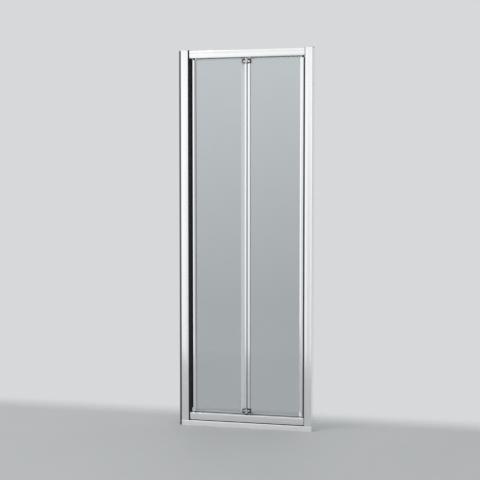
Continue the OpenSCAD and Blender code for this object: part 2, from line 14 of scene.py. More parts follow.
import bmesh
import bpy
import numpy as np
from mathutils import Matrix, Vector


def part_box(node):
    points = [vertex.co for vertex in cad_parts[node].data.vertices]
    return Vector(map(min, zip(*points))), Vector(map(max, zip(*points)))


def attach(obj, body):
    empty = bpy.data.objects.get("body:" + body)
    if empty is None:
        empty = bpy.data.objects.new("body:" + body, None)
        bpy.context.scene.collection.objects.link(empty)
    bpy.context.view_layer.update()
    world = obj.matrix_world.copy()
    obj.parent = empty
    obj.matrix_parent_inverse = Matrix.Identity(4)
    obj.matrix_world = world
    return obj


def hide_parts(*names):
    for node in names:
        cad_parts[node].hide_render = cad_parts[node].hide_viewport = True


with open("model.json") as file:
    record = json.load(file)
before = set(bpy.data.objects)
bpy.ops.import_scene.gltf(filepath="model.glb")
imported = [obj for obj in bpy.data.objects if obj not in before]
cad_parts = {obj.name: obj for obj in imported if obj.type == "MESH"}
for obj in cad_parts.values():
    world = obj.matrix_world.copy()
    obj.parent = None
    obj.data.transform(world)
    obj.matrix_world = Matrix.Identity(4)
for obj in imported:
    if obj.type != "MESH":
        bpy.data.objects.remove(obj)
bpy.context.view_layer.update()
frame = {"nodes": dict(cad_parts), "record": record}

MM = 0.001
LOG = logging.getLogger("shower_door")

Place = Sequence[float]
Loop = Sequence[Place] | np.ndarray
Triple = tuple[float, float, float]
Socket = bpy.types.NodeSocket


class Side(Enum):
    """Which half of the door a mirrored piece belongs to."""

    LEFT = -1
    RIGHT = 1

    @property
    def word(self) -> str:
        """The side as the names of nodes and pieces have it."""
        return self.name.lower()

    @property
    def leaf(self) -> str:
        """First word of the names on this side's leaf."""
        return "pivot" if self is Side.LEFT else "leading"

    @property
    def body(self) -> str:
        """Body of this side's leaf."""
        return f"{self.leaf}_panel"


class Axis(Enum):
    """Axis along which a profile is carried, with the order of the three components it stands for."""

    X = (1, 2, 0)
    Y = (2, 0, 1)
    Z = (0, 1, 2)


# ---------------------------------------------------------------- surfaces


@dataclass
class Surface:
    """Points and faces of a closed surface while it is being put together.

    The faces are kept as one flat array of point numbers with the number of corners of each face.
    """

    points: np.ndarray
    corners: np.ndarray
    counts: np.ndarray

    def __add__(self, other: "Surface") -> "Surface":
        """Both surfaces as one.

        Args:
            other: Surface that comes after this one.

        Returns:
            The surface with the faces of both.
        """
        return Surface(
            np.concatenate([self.points, other.points]),
            np.concatenate([self.corners, other.corners + len(self.points)]),
            np.concatenate([self.counts, other.counts]),
        )

    def moved(self, x: float = 0.0, y: float = 0.0, z: float = 0.0) -> "Surface":
        """The surface shifted by the given lengths."""
        return Surface(self.points + np.array([x, y, z]), self.corners, self.counts)

    def mirrored(self, axis: int, about: float) -> "Surface":
        """The mirror image across a plane, with its faces turned back outwards.

        Args:
            axis: Number of the component that changes sign.
            about: Place of the mirror plane on that component.

        Returns:
            The mirrored surface. Each face keeps its corners in reverse order.
        """
        points = self.points.copy()
        points[:, axis] = 2 * about - points[:, axis]
        starts = np.cumsum(self.counts) - self.counts
        face = np.repeat(np.arange(len(self.counts)), self.counts)
        place = np.arange(len(self.corners)) - starts[face]
        return Surface(points, self.corners[starts[face] + self.counts[face] - 1 - place], self.counts)


def together(parts: Sequence[Surface]) -> Surface:
    """All the surfaces as one."""
    return sum(parts[1:], parts[0])


def grid_surface(grid: np.ndarray, ends: bool = True) -> Surface:
    """Closes a grid of rings into a surface.

    Row m and row m + 1 of the grid are joined by quads, and each ring is closed on itself.

    Args:
        grid: Array of rings, shape (rings, points, 3), each ring anticlockwise seen from the last one.
        ends: Whether the first and the last ring are filled with one flat face each.

    Returns:
        The surface, with faces that point outwards.
    """
    rows, columns = grid.shape[:2]
    number = np.arange(rows * columns).reshape(rows, columns)
    beside = np.roll(number, -1, axis=1)
    quads = np.stack([number[:-1], beside[:-1], beside[1:], number[1:]], axis=-1).reshape(-1)
    counts = np.full((rows - 1) * columns, 4)
    if ends:
        quads = np.concatenate([quads, number[0, ::-1], number[-1]])
        counts = np.concatenate([counts, [columns, columns]])
    return Surface(grid.reshape(-1, 3).astype(float), quads, counts)


def on_axis(axis: Axis, first: np.ndarray, second: np.ndarray, along: np.ndarray) -> np.ndarray:
    """Puts three components of a grid in the order X, Y, Z.

    Args:
        axis: Axis that the last component lies on.
        first: Component that follows the axis in cyclic order.
        second: The one after it.
        along: Component on the axis. The three spread to one common shape.

    Returns:
        The grid, shape (rings, points, 3).
    """
    grid = np.zeros((*np.broadcast(first, second, along).shape, 3))
    for number, component in zip(axis.value, (first, second, along)):
        grid[..., number] = component
    return grid


def anticlockwise(loop: np.ndarray) -> np.ndarray:
    """Puts a loop in anticlockwise order: twice its area is the sum of the cross products of its points.

    Args:
        loop: Closed loop of pairs.

    Returns:
        The loop, turned round where its area is negative.
    """
    ahead = np.roll(loop, -1, axis=0)
    area = np.sum(loop[:, 0] * ahead[:, 1] - loop[:, 1] * ahead[:, 0])
    return loop if area > 0 else loop[::-1]


def rectangle(low: Place, high: Place) -> Loop:
    """Corners of the upright-sided rectangle between two corners."""
    return [(low[0], low[1]), (high[0], low[1]), (high[0], high[1]), (low[0], high[1])]


def rounded(loop: Loop, radius: float | Sequence[float], steps: int = 5) -> np.ndarray:
    """Rounds the corners of a closed polygon.

    Each corner becomes an arc whose centre lies on the corner's bisector at radius / sin(half angle),
    between the two points that lie radius / tan(half angle) away from the corner on its sides.

    Args:
        loop: Corners of the polygon, as pairs.
        radius: One radius for all corners, or one for each.
        steps: Number of straight steps in each arc.

    Returns:
        The rounded loop, anticlockwise, without repeated points.
    """
    corner = np.asarray(loop, float)
    size = np.broadcast_to(np.asarray(radius, float), len(corner)).copy()
    back = np.roll(corner, 1, axis=0) - corner
    ahead = np.roll(corner, -1, axis=0) - corner
    back /= np.linalg.norm(back, axis=1, keepdims=True)
    ahead /= np.linalg.norm(ahead, axis=1, keepdims=True)
    half = np.arccos(np.clip(np.sum(back * ahead, axis=1), -1, 1)) / 2
    size[half > math.radians(88)] = 0
    bisector = back + ahead
    bisector /= np.maximum(np.linalg.norm(bisector, axis=1, keepdims=True), 1e-9)
    centre = corner + bisector * (size / np.sin(half))[:, None]
    first = corner + back * (size / np.tan(half))[:, None] - centre
    last = corner + ahead * (size / np.tan(half))[:, None] - centre
    start = np.arctan2(first[:, 1], first[:, 0])
    turn = np.arctan2(last[:, 1], last[:, 0]) - start
    turn = (turn + math.pi) % (2 * math.pi) - math.pi
    angle = start[:, None] + turn[:, None] * np.linspace(0, 1, steps + 1)
    curve = centre[:, None] + size[:, None, None] * np.stack([np.cos(angle), np.sin(angle)], axis=-1)
    points = anticlockwise(curve.reshape(-1, 2))
    return points[np.linalg.norm(points - np.roll(points, 1, axis=0), axis=1) > 1e-5]


def inset(loop: np.ndarray, depth: float) -> np.ndarray:
    """Moves each point of a loop inwards along the mean of its two side normals.

    Args:
        loop: Anticlockwise loop.
        depth: Length of the move.

    Returns:
        The loop that lies inside.
    """
    side = np.roll(loop, -1, axis=0) - loop
    side /= np.linalg.norm(side, axis=1, keepdims=True)
    normal = np.stack([side[:, 1], -side[:, 0]], axis=-1)
    mean = normal + np.roll(normal, 1, axis=0)
    mean /= np.maximum(np.sum(mean * normal, axis=1, keepdims=True), 0.5)
    return loop - mean * depth


def bar(loop: Loop, axis: Axis, start: float, end: float, edge: float = 0.3, steps: int = 3) -> Surface:
    """Carries a profile along an axis and rounds the edges of its two ends.

    Near each end the profile is drawn in by edge * (1 - sin t) while it moves edge * (1 - cos t) along
    the axis, for t from 0 to a quarter turn. A ring beside each end arc keeps the long faces flat.

    Args:
        loop: Closed profile in the two components that follow the axis in cyclic order.
        axis: Axis along which it is carried.
        start: Place of the first end.
        end: Place of the last end.
        edge: Radius of the end edges.
        steps: Number of steps in each end arc.

    Returns:
        The closed bar.
    """
    profile = anticlockwise(np.asarray(loop, float))
    turn = np.linspace(0, math.pi / 2, steps + 1)
    depth = edge * (1 - np.sin(turn))
    along = edge * (1 - np.cos(turn))
    depths = np.concatenate([depth, [0, 0], depth[::-1]])
    places = np.concatenate([start + along, [start + 3 * edge, end - 3 * edge], end - along[::-1]])
    rings = np.stack([inset(profile, d) if d > 0 else profile for d in depths])
    return grid_surface(on_axis(axis, rings[:, :, 0], rings[:, :, 1], places[:, None]))


def block(low: Place, high: Place, radius: float = 0.4, edge: float = 0.3) -> Surface:
    """A box with rounded edges: its X, Y outline has rounded corners and is carried along Z."""
    return bar(rounded(rectangle(low, high), radius, 4), Axis.Z, low[2], high[2], edge)


def prism(loop: Loop, axis: Axis, start: float, end: float) -> Surface:
    """Carries a profile along an axis with sharp ends, for cutting.

    Args:
        loop: Closed profile, as for bar.
        axis: Axis along which it is carried.
        start: Place of the first end.
        end: Place of the last end.

    Returns:
        The closed prism.
    """
    profile = anticlockwise(np.asarray(loop, float))
    return grid_surface(on_axis(axis, profile[:, 0], profile[:, 1], np.array([[start], [end]])))


def room(low: Place, high: Place) -> Surface:
    """A sharp box between two corners, for cutting."""
    return prism(rectangle(low, high), Axis.Z, low[2], high[2])


def arc(centre: Place, radius: float, start: float, end: float, steps: int = 7) -> np.ndarray:
    """Points of a circle from one angle in degrees to another: centre + radius * (cos a, sin a)."""
    angle = np.radians(np.linspace(start, end, steps + 1))
    return np.asarray(centre) + radius * np.stack([np.cos(angle), np.sin(angle)], axis=-1)


def lathe(outline: Loop, axis: Axis, centre: Place, around: int = 48) -> Surface:
    """Turns an open outline of (radius, place) pairs about an axis.

    A point of the outline with radius r goes to (r cos a, r sin a) about the axis for each angle a.

    Args:
        outline: Pairs from one end on the axis to the other.
        axis: Axis of the turning.
        centre: The two components, after the axis in cyclic order, that the axis runs through.
        around: Number of points round the axis.

    Returns:
        The closed surface; rings of radius zero shrink to poles when the doubles are merged.
    """
    pair = np.asarray(outline, float)
    if pair[0, 1] > pair[-1, 1]:
        pair = pair[::-1]
    angle = np.linspace(0, 2 * math.pi, around, endpoint=False)
    first, second = centre[0] + pair[:, :1] * np.cos(angle), centre[1] + pair[:, :1] * np.sin(angle)
    return grid_surface(on_axis(axis, first, second, pair[:, 1:]), ends=False)


def ring(outline: Loop, axis: Axis, centre: Place, around: int = 64) -> Surface:
    """Turns a closed loop of (radius, place) pairs about an axis, as lathe does, and joins it to itself.

    Args:
        outline: The closed loop.
        axis: Axis of the turning.
        centre: Where the axis runs, as for lathe.
        around: Number of steps round the axis.

    Returns:
        The closed ring.
    """
    loop = anticlockwise(np.asarray(outline, float))
    angle = np.linspace(0, 2 * math.pi, around + 1)[:, None]
    first, second = centre[0] + loop[:, 0] * np.cos(angle), centre[1] + loop[:, 0] * np.sin(angle)
    return grid_surface(on_axis(axis, first, second, loop[:, 1])[:, ::-1], ends=False)


def drill(radius: float, axis: Axis, centre: Place, start: float, end: float, around: int = 32) -> Surface:
    """A plain round bar between two places on an axis, mostly for cutting."""
    return lathe([(0, start), (radius, start), (radius, end), (0, end)], axis, centre, around)


def cross_head(radius: float, height: float, recess: float, shank: float) -> Surface:
    """Head of a cross-recess screw that stands on the plane of place 0 and looks along +Y.

    On a polar grid the height is that of a shallow dome, less a recess whose depth is the larger of two
    crossed slots. A slot is as deep as it is far inside its sides, up to the full recess.

    Args:
        radius: Radius of the head.
        height: Height of the dome at its middle.
        recess: Depth of the cross.
        shank: Length of the plug below the head.

    Returns:
        The closed head about the origin.
    """
    angle = np.linspace(0, 2 * math.pi, 64, endpoint=False)
    share = np.concatenate([np.linspace(0, 0.62, 22), [0.7, 0.8, 0.88, 0.94, 0.98, 1.0]])
    x = radius * share[:, None] * np.cos(angle)
    z = radius * share[:, None] * np.sin(angle)
    arm, width, soft = 0.56 * radius, 0.13 * radius, 0.09 * radius
    slot_x = np.clip((arm - abs(x)) / soft, 0, 1) * np.clip((width - abs(z)) / soft + 0.5, 0, 1)
    slot_z = np.clip((arm - abs(z)) / soft, 0, 1) * np.clip((width - abs(x)) / soft + 0.5, 0, 1)
    dome = height * np.sqrt(np.clip(1 - 0.93 * share**4, 0, 1))[:, None]
    y = dome - recess * np.maximum(slot_x, slot_z)
    top = np.stack([x, y, z], axis=-1)
    foot = top[-1:].repeat(3, axis=0)
    foot[:2, :, 1] = 0
    foot[2, :, 1] = -shank
    foot[1:, :, ::2] *= 0.5
    return grid_surface(np.concatenate([top, foot]))


# ---------------------------------------------------------------- finishes


@dataclass
class Graph:
    """Node tree of a material or of the world, with short ways to add to it."""

    tree: bpy.types.NodeTree

    def fill(self, node: bpy.types.Node, values: dict[str | int, object]) -> bpy.types.Node:
        """Links the sockets among the values to the inputs of a node, and sets the other inputs.

        Args:
            node: Node to fill.
            values: Sockets, numbers, vectors or colours by name or number of the input.

        Returns:
            The same node.
        """
        for name, value in values.items():
            if isinstance(value, Socket):
                self.tree.links.new(value, node.inputs[name])
            else:
                node.inputs[name].default_value = value
        return node

    def add(
        self, kind: str, values: dict[str | int, object] | None = None, **settings: str
    ) -> bpy.types.Node:
        """Adds a node.

        Args:
            kind: Type of the node, as it stands after ShaderNode.
            values: What its inputs get, as for fill.
            settings: Its properties, which are set before the inputs.

        Returns:
            The new node.
        """
        node = self.tree.nodes.new(f"ShaderNode{kind}")
        for name, value in settings.items():
            setattr(node, name, value)
        return self.fill(node, values or {})

    def noise(self, place: Socket, scale: float, stretch: Triple, detail: float) -> Socket:
        """A noise pattern on stretched coordinates.

        Args:
            place: Socket of the coordinates.
            scale: Repeats per metre.
            stretch: Factors along X, Y, Z.
            detail: Number of octaves.

        Returns:
            The socket of the pattern, around 0.5.
        """
        mapped = self.add("Mapping", {"Vector": place, "Scale": stretch}).outputs["Vector"]
        return self.add("TexNoise", {"Vector": mapped, "Scale": scale, "Detail": detail}).outputs[0]

    def remap(self, value: Socket, start: float, end: float, low: float = 0.0, high: float = 1.0,
              smooth: bool = False) -> Socket:
        """Maps start to end onto low to high.

        Args:
            value: Socket of the number.
            start: Number that becomes low.
            end: Number that becomes high.
            low: First level.
            high: Last level.
            smooth: Whether it is a smooth step or a straight line.

        Returns:
            The socket of the level.
        """
        values = {"Value": value, "From Min": start, "From Max": end, "To Min": low, "To Max": high}
        step = self.add("MapRange", values, interpolation_type="SMOOTHSTEP" if smooth else "LINEAR")
        return step.outputs["Result"]

    def mix(self, share: float | Socket, first: Triple | Socket, second: Triple | Socket,
            blend: str = "MIX") -> Socket:
        """Mixes two colours.

        Args:
            share: Share of the second colour.
            first: First colour.
            second: Second colour.
            blend: Way of mixing.

        Returns:
            The socket of the mixed colour.
        """
        colours = [(*c, 1.0) if isinstance(c, tuple) else c for c in (first, second)]
        values = {0: share, 6: colours[0], 7: colours[1]}
        return self.add("Mix", values, data_type="RGBA", blend_type=blend).outputs[2]

    def see_through(self, share: Socket, first: Socket, colour: Triple = (1.0, 1.0, 1.0)) -> None:
        """Ends a material in a mix of a shader with a transparent one of the given colour.

        Args:
            share: Share of the transparent shader.
            first: The other shader.
            colour: Tint of the transparent one.
        """
        clear = self.add("BsdfTransparent", {"Color": (*colour, 1.0)}).outputs[0]
        blend = self.add("MixShader", {0: share, 1: first, 2: clear}).outputs[0]
        self.fill(self.tree.nodes["Material Output"], {"Surface": blend})


class Lustre(Enum):
    """Families of finish, which set how the shader answers light."""

    METAL = "metal"
    MATT = "matt"
    GLASS = "glass"
    TRANSLUCENT = "translucent"


@dataclass(frozen=True)
class Finish:
    """One finish of the door and the node material that shows it.

    Broad noise varies the colour, middling noise the roughness and fine noise the bump. Stretch scales
    the fine noise along X, Y, Z, so that a small number draws it out into lines along that axis. Painted
    shade is the share of its colour that the finish loses from the upper of its heights to the lower:
    shade painted into the colour, darker towards the floor.
    """

    name: str
    slot: str
    lustre: Lustre
    tone: Triple
    roughness: float
    swing: float = 0.04
    shade: float = 0.05
    grain: float = 900.0
    stretch: Triple = (1.0, 1.0, 1.0)
    bump: float = 0.00002
    patch: float = 9.0
    clear: float = 0.0
    shine: float = 0.5
    painted_shade: float = 0.0
    painted_shade_heights: tuple[float, float] = (0.6, 1.75)

    def material(self) -> bpy.types.Material:
        """Makes the material, or takes the one that already has its name.

        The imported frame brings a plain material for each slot, named like the slot. A finish that is
        named like its slot takes that plain one, and its own numbers then have no effect.

        Returns:
            The material. One that is made here reads Object coordinates only.
        """
        made = bpy.data.materials.get(self.name)
        if made is not None:
            return made
        made = bpy.data.materials.new(self.name)
        made.use_nodes = True
        graph = Graph(made.node_tree)
        shader = made.node_tree.nodes["Principled BSDF"]
        place = graph.add("TexCoord").outputs["Object"]
        graph.fill(shader, {
            "Metallic": float(self.lustre is Lustre.METAL),
            "IOR": 1.48,
            "Specular IOR Level": self.shine,
            "Transmission Weight": {Lustre.GLASS: 1.0, Lustre.TRANSLUCENT: self.clear}.get(self.lustre, 0.0),
            "Base Color": self._colour(graph, place),
            "Roughness": self._roughness(graph, place),
            "Normal": self._bump(graph, place),
        })
        if self.lustre is Lustre.GLASS:
            # Rays that look for a lamp pass the glass as a clear tint.
            graph.see_through(graph.add("LightPath").outputs["Is Shadow Ray"], shader.outputs[0], self.tone)
        made.diffuse_color = (*self.tone, 1.0)
        return made

    def _colour(self, graph: Graph, place: Socket) -> Socket:
        """Mixes a darker and a lighter tone by broad noise, and darkens both towards the floor with painted
        shade.

        Args:
            graph: Node tree of the material.
            place: Socket of the coordinates.

        Returns:
            The socket of the colour.
        """
        darker, lighter = (
            tuple(min(1.0, c * (1 + way * self.shade)) for c in self.tone) for way in (-1, 1)
        )
        tone = graph.mix(graph.noise(place, self.patch, (1.0, 1.0, 0.5), 4.0), darker, lighter)
        if not self.painted_shade:
            return tone
        # Painted shade: the colour is scaled down from the upper height to the lower, so it darkens towards
        # the floor.
        height = graph.add("SeparateXYZ", {0: place}).outputs["Z"]
        level = graph.remap(height, *self.painted_shade_heights, 1 - self.painted_shade)
        return graph.add("VectorMath", {0: tone, "Scale": level}, operation="SCALE").outputs[0]

    def _roughness(self, graph: Graph, place: Socket) -> Socket:
        """Lets the roughness swing about its mean, as wiped and touched surfaces do.

        Args:
            graph: Node tree of the material.
            place: Socket of the coordinates.

        Returns:
            The socket of the roughness.
        """
        pattern = graph.noise(place, self.patch * 4, (1.0, 1.0, 0.35), 5.0)
        low, high = max(0.0, self.roughness - self.swing), min(1.0, self.roughness + self.swing)
        return graph.remap(pattern, 0.3, 0.7, low, high)

    def _bump(self, graph: Graph, place: Socket) -> Socket:
        """Raises the fine grain by the finish's bump height.

        Args:
            graph: Node tree of the material.
            place: Socket of the coordinates.

        Returns:
            The socket of the normal.
        """
        pattern = graph.noise(place, self.grain, self.stretch, 3.0)
        values = {"Strength": 0.6, "Distance": self.bump, "Height": pattern}
        return graph.add("Bump", values).outputs["Normal"]


METAL, MATT = Lustre.METAL, Lustre.MATT
LINES_X, LINES_Z, SOFT_Z = (0.02, 1.0, 1.0), (1.0, 1.0, 0.02), (1.0, 1.0, 0.15)

POLISHED_FRAME = Finish(
    "polished_frame", "bright_frame", METAL, (0.93, 0.935, 0.94), 0.13, 0.03, 0.012, 700.0, LINES_Z, 0.000004
)
POLISHED_RAIL = replace(POLISHED_FRAME, name="polished_rail", roughness=0.14, stretch=LINES_X)
SATIN_SILL = replace(POLISHED_RAIL, name="satin_sill", roughness=0.4, swing=0.04, bump=0.000006)
POLISHED_STILE = replace(
    POLISHED_FRAME, name="polished_stile", slot="bright_stile", tone=(0.90, 0.91, 0.92), roughness=0.12
)
PLATED_HINGE = Finish(
    "plated_hinge", "bright_hinge", METAL, (0.70, 0.71, 0.72), 0.16, 0.05, 0.02, 500.0, bump=0.000004
)
# The wall aluminium below is a dark copy of the pale one after it: painted shade for the left channel in the
# gap beside the wall, not a darker metal.
WALL_ALUMINIUM_PAINTED_SHADE = Finish(
    "satin_aluminium", "wall_aluminium", METAL, (0.13, 0.135, 0.145), 0.34, 0.06, 0.05, 1200.0,
    (1.0, 1.0, 0.01), 0.00001,
)
PALE_ALUMINIUM = replace(
    WALL_ALUMINIUM_PAINTED_SHADE, name="pale_aluminium", tone=(0.90, 0.905, 0.91), roughness=0.3, shade=0.03
)
TURNED_STEEL = Finish(
    "turned_steel", "steel", METAL, (0.58, 0.58, 0.60), 0.26, 0.08, 0.06, 1500.0, bump=0.00001, patch=40.0
)
PLAIN_BRASS = Finish(
    "plain_brass", "brass", METAL, (0.72, 0.52, 0.22), 0.3, 0.08, 0.08, 1500.0, bump=0.00001, patch=60.0
)
# The top seal's finish is an opaque pale copy of the clear seal: painted light that lifts the shade under
# the header.
TOP_SEAL_PAINTED_LIGHT = Finish(
    "seal_painted_light", "clear_seal", MATT, (0.93, 0.935, 0.94), 0.4, 0.06, 0.03, 1200.0, (0.1, 1.0, 1.0)
)
# The glass loses 26 % of its colour towards the floor: painted shade, darker at the bottom of the pane.
CLEAR_GLASS = Finish(
    "clear_glass", "glass", Lustre.GLASS, (0.71, 0.75, 0.765), 0.01, 0.01, 0.01, 6.0, (1.0, 1.0, 0.3),
    patch=3.0, painted_shade=0.26,
)
# The nine finishes below are named like their slots, so they show as the frame's own plain materials.
BLACK_RUBBER = Finish(
    "black_rubber", "black_rubber", MATT, (0.006, 0.006, 0.008), 0.85, 0.08, 0.25, 1600.0, SOFT_Z,
    shine=0.0,
)
DARK_RUBBER = Finish(
    "dark_rubber", "dark_rubber", MATT, (0.06, 0.065, 0.07), 0.6, 0.08, 0.2, 1600.0, SOFT_Z, shine=0.25
)
MAGNET_STRIP = Finish(
    "magnet_strip", "magnet_strip", MATT, (0.10, 0.105, 0.11), 0.45, 0.08, 0.15, 1400.0, (1.0, 1.0, 0.1)
)
GLAZING_RUBBER = Finish(
    "glazing_rubber", "glazing_rubber", MATT, (0.55, 0.56, 0.57), 0.5, 0.06, 0.05, 1600.0, SOFT_Z
)
PALE_STRIP = Finish(
    "pale_strip", "pale_strip", MATT, (0.56, 0.575, 0.585), 0.5, 0.06, 0.03, 1400.0, (1.0, 1.0, 0.1), 0.00001
)
CLEAR_SEAL = Finish(
    "clear_seal", "clear_seal", Lustre.TRANSLUCENT, (0.72, 0.735, 0.75), 0.32, 0.08, 0.08, 1200.0,
    (0.1, 1.0, 1.0), patch=12.0, clear=0.35,
)
GREY_NYLON = Finish(
    "grey_nylon", "grey_nylon", MATT, (0.26, 0.26, 0.27), 0.42, 0.06, 0.06, 2600.0, bump=0.00003
)
WHITE_NYLON = replace(
    GREY_NYLON, name="white_nylon", slot="white_nylon", tone=(0.78, 0.77, 0.73), roughness=0.35, shade=0.04
)
BLACK_NYLON = Finish(
    "black_nylon", "black_nylon", MATT, (0.005, 0.005, 0.007), 0.5, 0.06, 0.2, 2600.0, bump=0.00004,
    shine=0.12,
)

FINISH_OF_SLOT: dict[str, Finish] = {
    made.slot: made
    for made in (
        POLISHED_FRAME, POLISHED_STILE, PLATED_HINGE, WALL_ALUMINIUM_PAINTED_SHADE, TURNED_STEEL, PLAIN_BRASS,
        BLACK_RUBBER, DARK_RUBBER, MAGNET_STRIP, GLAZING_RUBBER, PALE_STRIP, CLEAR_SEAL, GREY_NYLON,
        WHITE_NYLON, BLACK_NYLON, CLEAR_GLASS,
    )
}


# ---------------------------------------------------------------- putting pieces in the scene


def mesh_object(name: str, surface: Surface) -> bpy.types.Object:
    """Puts a surface into a mesh object at the origin, in metres, with its doubles merged.

    Args:
        name: Name of the object.
        surface: Closed surface in millimetres.

    Returns:
        The linked object.
    """
    mesh = bpy.data.meshes.new(name)
    faces = np.split(surface.corners, np.cumsum(surface.counts)[:-1])
    mesh.from_pydata((surface.points * MM).tolist(), [], [face.tolist() for face in faces])
    work = bmesh.new()
    work.from_mesh(mesh)
    bmesh.ops.remove_doubles(work, verts=work.verts, dist=1e-7)
    work.to_mesh(mesh)
    work.free()
    made = bpy.data.objects.new(name, mesh)
    bpy.context.scene.collection.objects.link(made)
    return made


def shape(piece: bpy.types.Object, operation: str, tools: Sequence[Surface]) -> None:
    """Joins surfaces to a piece or takes them out of it, and keeps the result as its mesh.

    Args:
        piece: Object to change.
        operation: UNION or DIFFERENCE.
        tools: Closed surfaces in millimetres.
    """
    made = [mesh_object(f"tool_{number}", tool) for number, tool in enumerate(tools)]
    for tool in made:
        step = piece.modifiers.new("shape", "BOOLEAN")
        step.operation = operation
        step.solver = "EXACT"
        step.object = tool
    bpy.context.view_layer.update()
    result = piece.evaluated_get(bpy.context.evaluated_depsgraph_get())
    mesh = bpy.data.meshes.new_from_object(result)
    piece.modifiers.clear()
    piece.data = mesh
    for tool in made:
        bpy.data.objects.remove(tool)


def span(node: str) -> tuple[np.ndarray, np.ndarray]:
    """Lowest and highest corner of a CAD node, in millimetres."""
    low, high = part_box(node)
    return np.array(low) / MM, np.array(high) / MM


@dataclass
class Sets:
    """Puts pieces on one body of the door and reports them."""

    body: str

    def put(
        self,
        name: str,
        surface: Surface,
        finish: Finish,
        nodes: Sequence[str],
        cutters: Sequence[Surface] = (),
        joined: Sequence[Surface] = (),
        sharp: float = 35.0,
    ) -> None:
        """Makes one dressed piece.

        Args:
            name: Name of the piece.
            surface: Closed surface in millimetres.
            finish: Finish of the piece.
            nodes: CAD nodes that it stands for.
            cutters: Surfaces to take out of it.
            joined: Surfaces to join to it first.
            sharp: Angle in degrees above which an edge stays sharp.
        """
        piece = mesh_object(name, surface)
        if joined:
            shape(piece, "UNION", joined)
        if cutters:
            shape(piece, "DIFFERENCE", cutters)
        piece.data.shade_smooth()
        piece.data.set_sharp_from_angle(angle=math.radians(sharp))
        weigh = piece.modifiers.new("flat_faces", "WEIGHTED_NORMAL")
        weigh.keep_sharp = True
        weigh.weight = 90
        piece.data.materials.clear()
        piece.data.materials.append(finish.material())
        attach(piece, self.body)
        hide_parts(*nodes)
        LOG.info("%s: %d faces on %s", name, len(piece.data.polygons), self.body)

    def strip(
        self,
        name: str,
        node: str,
        axis: Axis,
        loop: Loop,
        radii: float | Sequence[float],
        finish: Finish,
        edge: float = 0.3,
        steps: int = 4,
    ) -> None:
        """Makes a strip that has one section over the whole length of a CAD node.

        Args:
            name: Name of the piece.
            node: CAD node that it stands for.
            axis: Axis along which it runs.
            loop: Corners of its section.
            radii: Radii of the corners.
            finish: Finish of the strip.
            edge: Radius of its end edges.
            steps: Number of steps in each corner.
        """
        ends = (corner[axis.value[2]] for corner in span(node))
        self.put(name, bar(rounded(loop, radii, steps), axis, *ends, edge), finish, [node])


@dataclass(frozen=True)
class Layout:
    """Main places of the door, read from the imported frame, in millimetres.

    Jamb, rail end and leaf places in X are reaches, which are distances from the middle of the opening.
    """

    centre: float
    jamb_inner: float
    jamb_outer: float
    jamb_foot: float
    jamb_top: float
    half_depth: float
    rail_end: float
    header_low: float
    header_high: float
    bottom_low: float
    bottom_high: float
    rail_front: float
    rail_back: float
    stile_low: float
    stile_high: float
    leaf_outer: float
    hinge_low: float
    hinge_high: float
    hinge_face: float

    @classmethod
    def from_frame(cls) -> "Layout":
        """Reads the places from the boxes of the CAD nodes.

        Returns:
            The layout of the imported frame.
        """
        jamb, jamb_end = span("jamb_left")
        header, header_end = span("header_rail")
        bottom, bottom_end = span("bottom_rail")
        stile, stile_end = span("pivot_stile")
        hinge, hinge_end = span("hinge_body_top_left")
        centre = (header[0] + header_end[0]) / 2
        return cls(
            centre=centre,
            jamb_inner=centre - jamb_end[0],
            jamb_outer=centre - jamb[0],
            jamb_foot=jamb[2],
            jamb_top=jamb_end[2],
            half_depth=jamb_end[1],
            rail_end=centre - header[0],
            header_low=header[2],
            header_high=header_end[2],
            bottom_low=bottom[2],
            bottom_high=bottom_end[2],
            rail_front=header[1],
            rail_back=header_end[1],
            stile_low=stile[2],
            stile_high=stile_end[2],
            leaf_outer=centre - stile[0],
            hinge_low=hinge[2],
            hinge_high=hinge_end[2],
            hinge_face=hinge[1],
        )

    @property
    def rail_height(self) -> float:
        """Height of the header rail."""
        return self.header_high - self.header_low

    @property
    def hinge_middle(self) -> float:
        """Height about which the hinges are mirrored."""
        return (self.header_low + self.bottom_high) / 2

    def across(self, side: Side, *reaches: float) -> list[float]:
        """Places in X of some reaches on one side, from low to high."""
        return sorted(self.centre + side.value * reach for reach in reaches)

    def upright(self, side: Side, loop: Loop) -> np.ndarray:
        """Turns a loop of (reach, y) pairs into x, y pairs on one side of the middle."""
        return anticlockwise(np.asarray(loop, float) * (side.value, 1) + (self.centre, 0))


# ---------------------------------------------------------------- the frame


